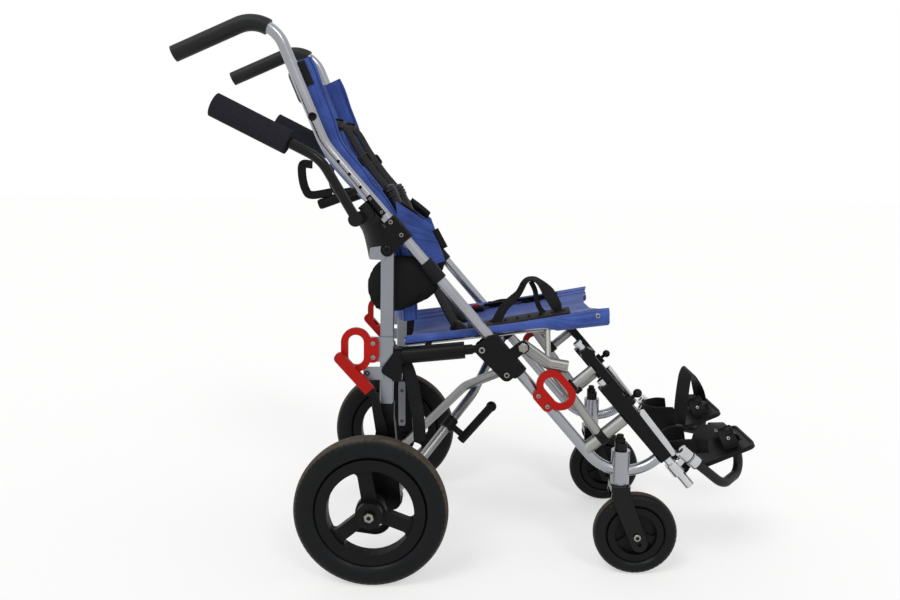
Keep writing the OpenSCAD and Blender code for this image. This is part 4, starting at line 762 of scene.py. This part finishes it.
def ribbon(path, width, thick, up):
    """A flat strap along a path: a thin rounded bar, of one width or one at each point, with its face
    square to up."""
    widths = np.broadcast_to(width, len(path))
    return carry(path, np.stack([bar_profile(w, thick, thick * 0.45) for w in widths]), up)


def normals(grid):
    """Unit normals of a sheet at each point of its grid."""
    return unit(np.cross(np.gradient(grid, axis=0), np.gradient(grid, axis=1)))


def cloth(grid, thick):
    """A sheet with two faces: each row runs over the upper face and back along the lower one, half a
    thickness off the middle surface along its normal."""
    off = normals(grid) * thick / 2
    return loft(np.concatenate([grid + off, (grid - off)[:, ::-1]], axis=1))


def seams_along(grid, columns):
    """Rows of sewing along columns of a sheet's grid, on both of its faces."""
    normal = normals(grid)
    return [ribbon(grid[:, k] + lift * normal[:, k], width=2.2, thick=1.0, up=normal[:, k])
            for k in columns for lift in (-1.3, 1.3)]


def between_sides(softs):
    """Bakes the placement of soft pieces into their meshes."""
    for soft in softs:
        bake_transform(soft)


f = np.linspace(0.002, 0.998, 84)[:, None]
under = hem_rear + (hem_front - hem_rear) / (1 + np.exp(-(f - hem_change) * hem_rate))
wrap = np.radians(under + (hem_inside - under) * np.linspace(0, 1, 15)[None, :])
hem_y, hem_up = seat_y - hem_r * np.cos(wrap), hem_r * np.sin(wrap) + seat_lift(f) * (1 + np.sin(wrap)) / 2
body_y = seat_in_y * np.linspace(-1, 1, 51)[None, 1:-1]
# The front edge is cut back in the middle by this share of the length.
front_cut = 0.055
body_f = f * (1 - front_cut * f ** 6 * (1 - (body_y / seat_in_y) ** 2))
seat_grid = np.concatenate([on_seat(f, -hem_y, hem_up), on_seat(body_f, body_y, seat_height(body_f, body_y)),
                            on_seat(f, hem_y, hem_up)[:, ::-1]], axis=1)
seat = piece("seat_cloth", [cloth(seat_grid, canvas_t)], canvas, crease=60)
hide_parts("seat_sling")
# Sewing thread: a darker blue than the canvas, in ribs that catch a little light.
thread = finish("blue sewing thread", "#16275a", "#22377c", patch=8, rough=0.6, shine=0.2)
seams = piece("seat_seams", seams_along(seat_grid, (17, 20, -18, -21)), thread)
between_sides((seat, seams))
eyelet_x, eyelet_y, eyelet_z = 444.0, 171.6, 530.0
for side, sign in sides:
    eyelet = bolt((eyelet_x, sign * eyelet_y, eyelet_z), (0, sign, 0.1), radius=5.0, rise=1.4)
    fit(side, "seat_eyelet", [eyelet], zinc, "frame")


# Back
# A second sling of the same canvas hangs from the side tubes. It sags behind them, its sides turn forward
# as wings, and seams run down beside the wings. Black webbing lines its top hem and crosses it behind.

# Each row is a place along the back: its x, z, half width and the depth of its wings.
back_keys = np.array([
    [-154.1, 1011.6, 177.0, 38], [-123.9, 937.5, 177.0, 38], [-91.8, 858.8, 177.0, 33],
    [-31.7, 789.1, 177.0, 24], [-1.6, 754.3, 169.9, 22], [28.3, 701.9, 158.0, 24],
    [48.3, 599.9, 146.0, 26], [58.3, 509.9, 146.0, 26]])
back_last, back_sag, wing_lean = len(back_keys) - 1, 32, 7
back_steps, back_blur = 1400, 60


def smooth_path(points, count):
    """Points on a smooth curve through given points: each stretch is the cubic whose slopes at its ends
    are half the step between their neighbours."""
    p = np.asarray(points, float)
    p = np.vstack([2 * p[0] - p[1], p, 2 * p[-1] - p[-2]])
    t = np.linspace(0, len(p) - 3 - 1e-9, count)
    k = t.astype(int)
    f = (t - k)[:, None]
    a, b, c, d = p[k], p[k + 1], p[k + 2], p[k + 3]
    bend, twist = 2 * a - 5 * b + 4 * c - d, 3 * b - a - 3 * c + d
    return 0.5 * (2 * b + (c - a) * f + bend * f ** 2 + twist * f ** 3)


def back_line(t):
    """Rows of x, z, half width and wing depth at places along the back, and the way forward there, which
    is the slope smoothed over a twelfth of the length and turned by a quarter."""
    many = smooth_path(back_keys, back_steps + 1)
    k = np.clip(np.asarray(t, float) / back_last * back_steps, 0, back_steps)
    blur = np.ones(2 * back_blur + 1) / (2 * back_blur + 1)
    slope = [np.convolve(np.pad(np.gradient(many[:, m]), back_blur, "edge"), blur, "valid") for m in (0, 1)]
    row = np.stack([np.interp(k, np.arange(back_steps + 1), column) for column in (*many.T, *slope)], -1)
    return row[..., :4], unit(np.stack([-row[..., 5], row[..., 4]], -1))


def on_back(t, y, lift):
    """Points in mm on the back's sagging face at a place t along it and a side distance y, lifted
    forward."""
    row, forward = back_line(t)
    depth = lift - back_sag * (1 - (y / row[..., 2]) ** 2)
    return np.stack(np.broadcast_arrays(row[..., 0] + depth * forward[..., 0], y,
                                        row[..., 1] + depth * forward[..., 1]), -1)


def on_wing(sign, t, reach, ripple=0.0, proud=0.0):
    """Points in mm on one wing, at places t along the back and shares of the wing's depth: it leans
    inwards towards its edge, may ripple forward, and may stand proud of the cloth."""
    row, _ = back_line(t)
    wing = on_back(t, sign * row[..., 2] + 0 * reach, row[..., 3] * reach + ripple)
    wing[..., 1] = sign * (row[..., 2] - wing_lean * reach + proud)
    return wing


t = np.linspace(0, back_last, 110)[:, None]
row, _ = back_line(t)
edge = np.linspace(1, 0, 9)[None, :-1]
inner = np.linspace(-1, 1, 47)[None, :]
wings = [on_wing(sign, t, edge, 1.5 * np.sin(5 * t) * edge ** 2) for sign in (-1, 1)]
# A raised tuck runs down beside each wing, and slow waves cross the middle.
tuck = 1.6 * np.exp(-((np.abs(inner) - 0.86) / 0.02) ** 2)
waves = 1.6 * np.sin(2.2 * t + 4 * inner) * (1 - inner ** 2)
back_grid = np.concatenate([wings[0], on_back(t, inner * row[..., 2], tuck + waves), wings[1][:, ::-1]],
                           axis=1)
back = piece("back_cloth", [cloth(back_grid, canvas_t)], canvas, crease=60)
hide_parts("back_sling")
seams = piece("back_seams", seams_along(back_grid, (1, 8, 11, -2, -9, -12)), thread)
bands, band_behind = [], 5.5
for low, high, share, loose in ((0.06, 0.62, 0.97, 0.0), (4.15, 5.6, 0.93, 34.0)):
    t = np.linspace(low, high, 16)[:, None]
    row, _ = back_line(t)
    slack = loose * (1 - inner ** 8)
    behind = -band_behind - slack + 0 * t
    bands.append(cloth(on_back(t, share * inner * row[..., 2], behind), thick=3.0))
for sign in (-1, 1):
    patch = on_wing(sign, np.linspace(0.03, 0.62, 14)[:, None], np.linspace(0.05, 0.62, 9)[None, :],
                    proud=2.6)
    bands.append(cloth(patch, thick=1.6))
band = piece("back_bands", bands, webbing)
between_sides((back, seams))
between_sides((band,))


# Side flaps of the back
# A blue flap of the same canvas reaches forward from each lower wing, past the side tube, with a black
# strip along its top and a solid bar buckle on its front edge. The left flap is folded a little back.
def slab(sign, corners, y, thick, bulge=0.0):
    """A sheet between two edges, each from an upper to a lower corner in x and z, at depths y from the
    first edge to the second; its middle bulges inwards."""
    a, b, c, d = (np.array(k, float) for k in corners)
    m, n = np.meshgrid(np.linspace(0, 1, 15), np.linspace(0, 1, 15), indexing="ij")
    flat = (1 - m)[..., None] * ((1 - n)[..., None] * a + n[..., None] * b)
    flat = flat + m[..., None] * ((1 - n)[..., None] * c + n[..., None] * d)
    swell = y[0] + (y[1] - y[0]) * m + bulge * np.sin(np.pi * m) * np.sin(np.pi * n)
    return cloth(on_side(sign, flat[..., 0], swell, flat[..., 1]), thick)


flap_rear, flap_front = ((40, 752), (58, 606)), ((113, 704), (139, 634))
strip_corners = ((52, 752), (44, 736), (96, 718), (88, 704))
buckle_way = unit(np.array([26.0, 0, -49.0]))
for (side, sign), folded, buckle_mid in zip(sides, (0, 16), ((128, 45, 678), (114, 52, 644))):
    front = [(x - folded, z) for x, z in flap_front]
    flap = slab(sign, (*flap_rear, *front), y=(38, 44), thick=2.4, bulge=6)
    fit(side, "back_flap", [flap], canvas, "frame", crease=60)
    bar = on_side(sign, *buckle_mid) + np.linspace(-21, 21, 8)[:, None] * buckle_way
    trim = [slab(sign, strip_corners, y=(41, 46), thick=3.6, bulge=4),
            ribbon(bar, width=13.5, thick=7.0, up=(0, sign, 0)),
            ribbon(bar[1:-1], width=4.0, thick=9.4, up=(0, sign, 0))]
    fit(side, "flap_buckle", trim, black_plastic, "frame")


# Harness
# Shoulder straps of black webbing come through slots in the back cloth, hang forward past ribbed rubber
# sleeves and end in a buckle on the seat. A padded chest piece lies low on the back.
def frame_ring(centre, first, second, half, bar_r, power=0.35):
    """A closed ring of round bar along a squared oval that spans two directions by its half sizes."""
    rim = centre + (squared(circle(48), power) * half) @ np.stack([first, second])
    spoke = unit(rim - centre)
    small = circle(12)[None]
    return loft(rim[:, None] + bar_r * (small[..., :1] * spoke[:, None]
                                        + small[..., 1:] * np.cross(first, second)), closed=True)


# Places in x and z along a strap, from its slot in the back to its end on the seat.
hang = np.array([[-96, 908], [-72, 896], [-46, 854], [-15, 810], [14, 775], [28, 750], [43, 722], [60, 686],
                 [78, 648], [98, 604], [122, 554], [152, 498], [174, 468]], float)
shoulder_y, shoulder_slot = 62.0, 1.45
strap_steps, sleeve_steps, sleeve_from, sleeve_to = 130, 70, 48, 72
glide_at, knot_at = (12, 34), -4
# A sleeve's size along it: ribs on its upper part, rounded ends and a slight taper.
step = np.arange(sleeve_steps)
ribs = np.where(step < 26, 1 + 0.16 * np.abs(np.sin(step * np.pi / 6.5)), 1.0)
ends = np.minimum(1, np.minimum(step + 4, sleeve_steps + 3 - step) / 8)
sleeve_size = ribs * ends * np.linspace(1.0, 0.86, sleeve_steps)
sleeve_rings = sleeve_size[:, None, None] * circle(32) * (17, 13)
knot_rows = [(0.05, -20.8), (10, -20.8), (15, -14.4), (16, 0), (15, 14.4), (10, 20.8), (0.05, 20.8)]
straps, sleeves, glides = [], [], []
for sign, ahead_by in ((-1, 2.0), (1, 8.0)):
    start = on_back(np.array([shoulder_slot]), np.array([sign * shoulder_y]), 3.0)
    path = on_side(sign, hang[:, 0] + ahead_by, side_y - shoulder_y, hang[:, 1])
    path = smooth_path(np.vstack([start, path]), strap_steps)
    way = unit(np.gradient(path, axis=0))
    front = np.stack([-way[:, 2], 0 * way[:, 0], way[:, 0]], -1)
    face = 0.9 * front + np.array([0, -0.44, 0])
    straps.append(ribbon(path, np.linspace(24, 34, strap_steps), thick=3.0, up=face))
    sleeve_path, sleeve_face = (smooth_path(k[sleeve_from:sleeve_to], sleeve_steps) for k in (path, face))
    sleeves.append(carry(sleeve_path, sleeve_rings, sleeve_face))
    for n in glide_at:
        glides.append(frame_ring(path[n], unit(np.cross(face[n], way[n])), way[n], half=(20, 11), bar_r=2.6))
    knot_way = way[knot_at] + 0.3 * face[knot_at]
    glides.append(turned(knot_rows, path[knot_at], knot_way, count=24))
strap = piece("shoulder_straps", straps, webbing)
sleeve = piece("strap_sleeves", sleeves, rubber, crease=70)
glide = piece("strap_buckles", glides, black_plastic)
chest_at, chest_long, chest_half, chest_base, chest_rim, chest_crown = 5.5, 0.9, 78, 29, 3, 8
v, u = np.meshgrid(np.linspace(-1, 1, 25), np.linspace(-1, 1, 31), indexing="ij")
place, rim_y = chest_at + chest_long * v, chest_half * u * (1 - 0.07 * (1 - v ** 2))
top = on_back(place, rim_y, chest_base + chest_rim + chest_crown * (1 - u ** 4) * (1 - v ** 4))
under = on_back(place, rim_y, chest_base + 0 * u)
chest = cushion("chest_pad", top, under, "harness")
between_sides((strap, sleeve, glide, chest))


# Thigh straps
# A holed rubber strip is riveted along each side of the seat. A webbing loop stands over the right one,
# twisted as it was left, the left one lies low; a red release button shows at each rear buckle.

# Places in x and z along a loop, the way its face looks there, its widths, and its loose tail.
loop_points = np.array([[236, 497], [245, 508], [261, 537], [288, 565], [301, 589], [313, 596], [329, 591],
                        [350, 568], [367, 540], [372, 523]], float)
loop_face = np.array([[-.3, 1, .3], [-.3, 1, .3], [-.3, 1, .2], [-.6, .6, .6], [-.3, .6, 1], [0, .5, 1],
                      [.6, .6, .7], [.4, 1, .1], [.3, 1, 0], [.2, 1, 0]])
loop_wide = np.interp(np.linspace(0, 9, 90), range(10), [24, 20, 19, 20, 17, 17, 20, 27, 24, 9])
tail_points = np.array([[314, 590], [323, 572], [327, 552], [334, 534], [345, 523]], float)
strip_y, tail_y, box_y, button_y = 118.0, 112.0, 112.0, 114.0
strip_from, strip_to, strip_up = 0.40, 0.82, 7.6
# The left loop and tail lie low: heights over a foot are cut to a share and set on a lower foot.
loop_foot, loop_share, loop_low = 505, 0.17, 503
tail_foot, tail_share, tail_low = 509, 0.15, 506
hole_rows = [(0.2, 0.1), (2.2, 0.1), (2.4, 0.9), (3.6, 0.9), (4.0, -1.0)]
strips, holes, loops, buttons = [], [], [], []
for sign in (-1, 1):
    share = np.linspace(strip_from, strip_to, 30)
    y = np.full(30, sign * strip_y)
    path = on_seat(share, y, seat_height(share, y + sign * 12) + strip_up)
    tip = np.broadcast_to(np.array([0, 0.36 * sign, 0.933]), path.shape)
    strips.append(ribbon(path, width=25, thick=3.4, up=tip))
    holes += [turned(hole_rows, path[n] + 1.7 * tip[n], tip[n], count=16) for n in range(3, 28, 4)]
    rise = loop_points[:, 1] if sign < 0 else loop_low + loop_share * (loop_points[:, 1] - loop_foot)
    path = on_side(sign, loop_points[:, 0], side_y - strip_y, rise)
    face = smooth_path(loop_face * (1, sign, 1), 90)
    loops.append(ribbon(smooth_path(path, 90), loop_wide, thick=2.4, up=face))
    rise = tail_points[:, 1] if sign < 0 else tail_low + tail_share * (tail_points[:, 1] - tail_foot)
    path = on_side(sign, tail_points[:, 0], side_y - tail_y, rise)
    loops.append(ribbon(smooth_path(path, 40), width=11, thick=1.8, up=(0.3, sign, 0.1)))
    for parts, low, high, y, up, wide, thick in ((loops, 0.31, 0.40, box_y, 8, 30, 12),
                                                 (buttons, 0.335, 0.375, button_y, 15, 14, 5)):
        path = on_seat(np.linspace(low, high, 8), sign * y, seat_height(0.35, sign * y) + up)
        parts.append(ribbon(path, wide, thick, (0, 0.2 * sign, 1)))
strip = piece("thigh_strips", strips, rubber)
hole = piece("strip_eyelets", holes, black_coat)
loop = piece("thigh_loops", loops, webbing)
button = piece("buckle_buttons", buttons, red_coat)
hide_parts("thigh_strap")
between_sides((strip, hole, loop, button))


# Bag hooks
# A black moulded arm is fixed in the lowest accessory hole of each side tube and carries a flat strip bent
# into a C. A loose end of webbing hangs under the right seat rail.
arm = np.array([(-23, 8, 779), (-33, 17, 774), (-48, 24, 768), (-74, 25, 757), (-110, 25, 744)], float)
arm_r = np.interp(np.arange(40), [0, 22, 27, 38, 39], [6.5, 6.5, 10, 10, 8.5])
hook = np.array([(-122, 822), (-140, 822), (-142, 800), (-136, 774), (-124, 763), (-84, 769)], float)
hook_in, hook_profile = 25.0, bar_profile(width=16, thick=9, corner=2.4)
for side, sign in sides:
    path = smooth_path(on_side(sign, *arm.T), 40)
    lofts = [carry(path, arm_r[:, None, None] * circle(24), (0, sign, 0))]
    path = smooth_path(on_side(sign, hook[:, 0], hook_in, hook[:, 1]), 60)
    lofts.append(carry(path, hook_profile, (0, sign, 0)))
    fit(side, "bag_hook", lofts, black_plastic, "frame")
fall = np.array([(50, 434), (64, 424), (76, 386), (83, 346), (88, 313), (91, 268)], float)
fall_in = 10.0
path = smooth_path(on_side(-1, fall[:, 0], fall_in, fall[:, 1]), 60)
tail = ribbon(path, width=26, thick=2.4, up=(0.35, -1, 0.1))
fit("right", "loose_tail", [tail], webbing, "frame")


# Foot straps
# Each footplate has a padded heel cup of black cloth over foam that hangs behind it, an ankle strap and a
# toe strap with a buckle. The left ankle strap stands up; the right one lies forward with its end rolled.
plate_rear, plate_tilt, plate_mid = np.array([655.0, 218.2]), math.radians(23.8), 79.0
plate_up = np.array([-math.sin(plate_tilt), 0, math.cos(plate_tilt)])
plate_way = np.array([math.cos(plate_tilt), 0, math.sin(plate_tilt)])


def on_plate(sign, along, y, up):
    """Points in mm on one footplate: along it from its rear edge, sideways from its middle, and up off
    it."""
    along, y, up = (np.asarray(k, float) for k in (along, y, up))
    x = plate_rear[0] + along * math.cos(plate_tilt) - up * math.sin(plate_tilt)
    z = plate_rear[1] + along * math.sin(plate_tilt) + up * math.cos(plate_tilt)
    return on_side(sign, x, plate_mid + y, z)


# Where each heel cup's curve is centred along the plate, its radius, its height and how far it hangs down,
# and where on the toe strap the buckle and the rivet sit.
cups = {"right": (2.0, 45.0, 72.0, 26.0), "left": (16.0, 41.0, 68.0, 6.0)}
toe_spots = {"right": (31, 37), "left": (12, 6)}
ankle_left = ([30, 46, 66, 90, 104, 113, 115, 112], [45, 44, 38, 26, 6, -18, -36, -44],
              [6, 34, 70, 104, 102, 70, 38, 6])
ankle_left_face = np.array([[-.2, 1, .1], [-.2, 1, .2], [-.1, 1, .3], [.1, .8, .7], [.7, 0, .7],
                            [.9, -.5, .3], [.8, -.8, .1], [.7, -.9, 0]])
ankle_right = ([22, 30, 46, 64, 82, 98], [-43, -45, -40, -30, -20, -18], [18, 46, 54, 46, 30, 9])
ankle_right_face = np.array([[-.3, -1, .4], [-.3, -1, .5], [0, -.8, .7], [.3, -.6, .8], [.4, -.5, .8],
                             [.3, -.3, 1]])
roll_along, roll_y, roll_up = 98, -18, 14
coil = np.linspace(0, 5.5 * np.pi, 110)
coil_r = 3 + 0.55 * coil
toe_along, toe_half, toe_base, toe_rise = 84, 46, 4, 38
turn = np.linspace(-0.5 * np.pi - 0.3, 0.5 * np.pi + 0.3, 44)
lap = np.linspace(0, np.pi, 44)
for side, sign in sides:
    heel_at, heel_r, tall, drop = cups[side]
    top = tall - 6 * turn ** 2
    low = 4 - drop * np.clip((np.cos(turn) - 0.25) / 0.6, 0, 1)
    path = on_plate(sign, heel_at - heel_r * np.cos(turn), heel_r * np.sin(turn), (top + low) / 2)
    section = np.stack([bar_profile(width=6.5, thick=h, corner=3.0, steps=4) for h in top - low])
    cup = fit(side, "heel_cup", [carry(path, section, plate_up)], pad_cloth, "foot")
    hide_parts(f"{side}_foot_strap")
    away = np.stack([0 * lap, sign * -np.cos(lap), np.sin(lap)], -1)
    toe = on_plate(sign, toe_along, toe_half * np.cos(lap), toe_base + toe_rise * np.sin(lap) ** 0.7)
    spot, stud = toe_spots[side]
    rivets = [bolt(toe[stud] + 1.5 * away[stud], away[stud], radius=4.0, rise=2.0)]
    if side == "left":
        path, face = smooth_path(on_plate(sign, *ankle_left), 70), ankle_left_face * (1, -sign, 1)
        straps = [ribbon(path, width=30, thick=3.2, up=smooth_path(face, 70))]
    else:
        path, face = smooth_path(on_plate(sign, *ankle_right), 60), ankle_right_face * (1, -sign, 1)
        straps = [ribbon(path, width=32, thick=3.2, up=smooth_path(face, 60))]
        roll = on_plate(sign, roll_along + coil_r * np.cos(coil), roll_y, roll_up + coil_r * np.sin(coil))
        spokes = roll - on_plate(sign, roll_along, roll_y, roll_up)
        straps.append(ribbon(roll, width=30, thick=1.5, up=spokes))
        rivet_way = unit(face[3])
        rivets.append(bolt(path[38] + 1.6 * rivet_way, rivet_way, radius=4.0, rise=2.0))
    straps.append(ribbon(toe, width=32, thick=3.0, up=away))
    fit(side, "foot_webbing", straps, webbing, "foot")
    ring = frame_ring(toe[spot] + 2 * away[spot], plate_way, np.cross(away[spot], plate_way), half=(15, 9),
                      bar_r=2.6)
    fit(side, "foot_buckle", [ring], black_plastic, "foot")
    fit(side, "foot_rivet", rivets, zinc, "foot")


# Size
# The box of all that is shown, without the backdrop, is kept as plain numbers in metres.
low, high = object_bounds()
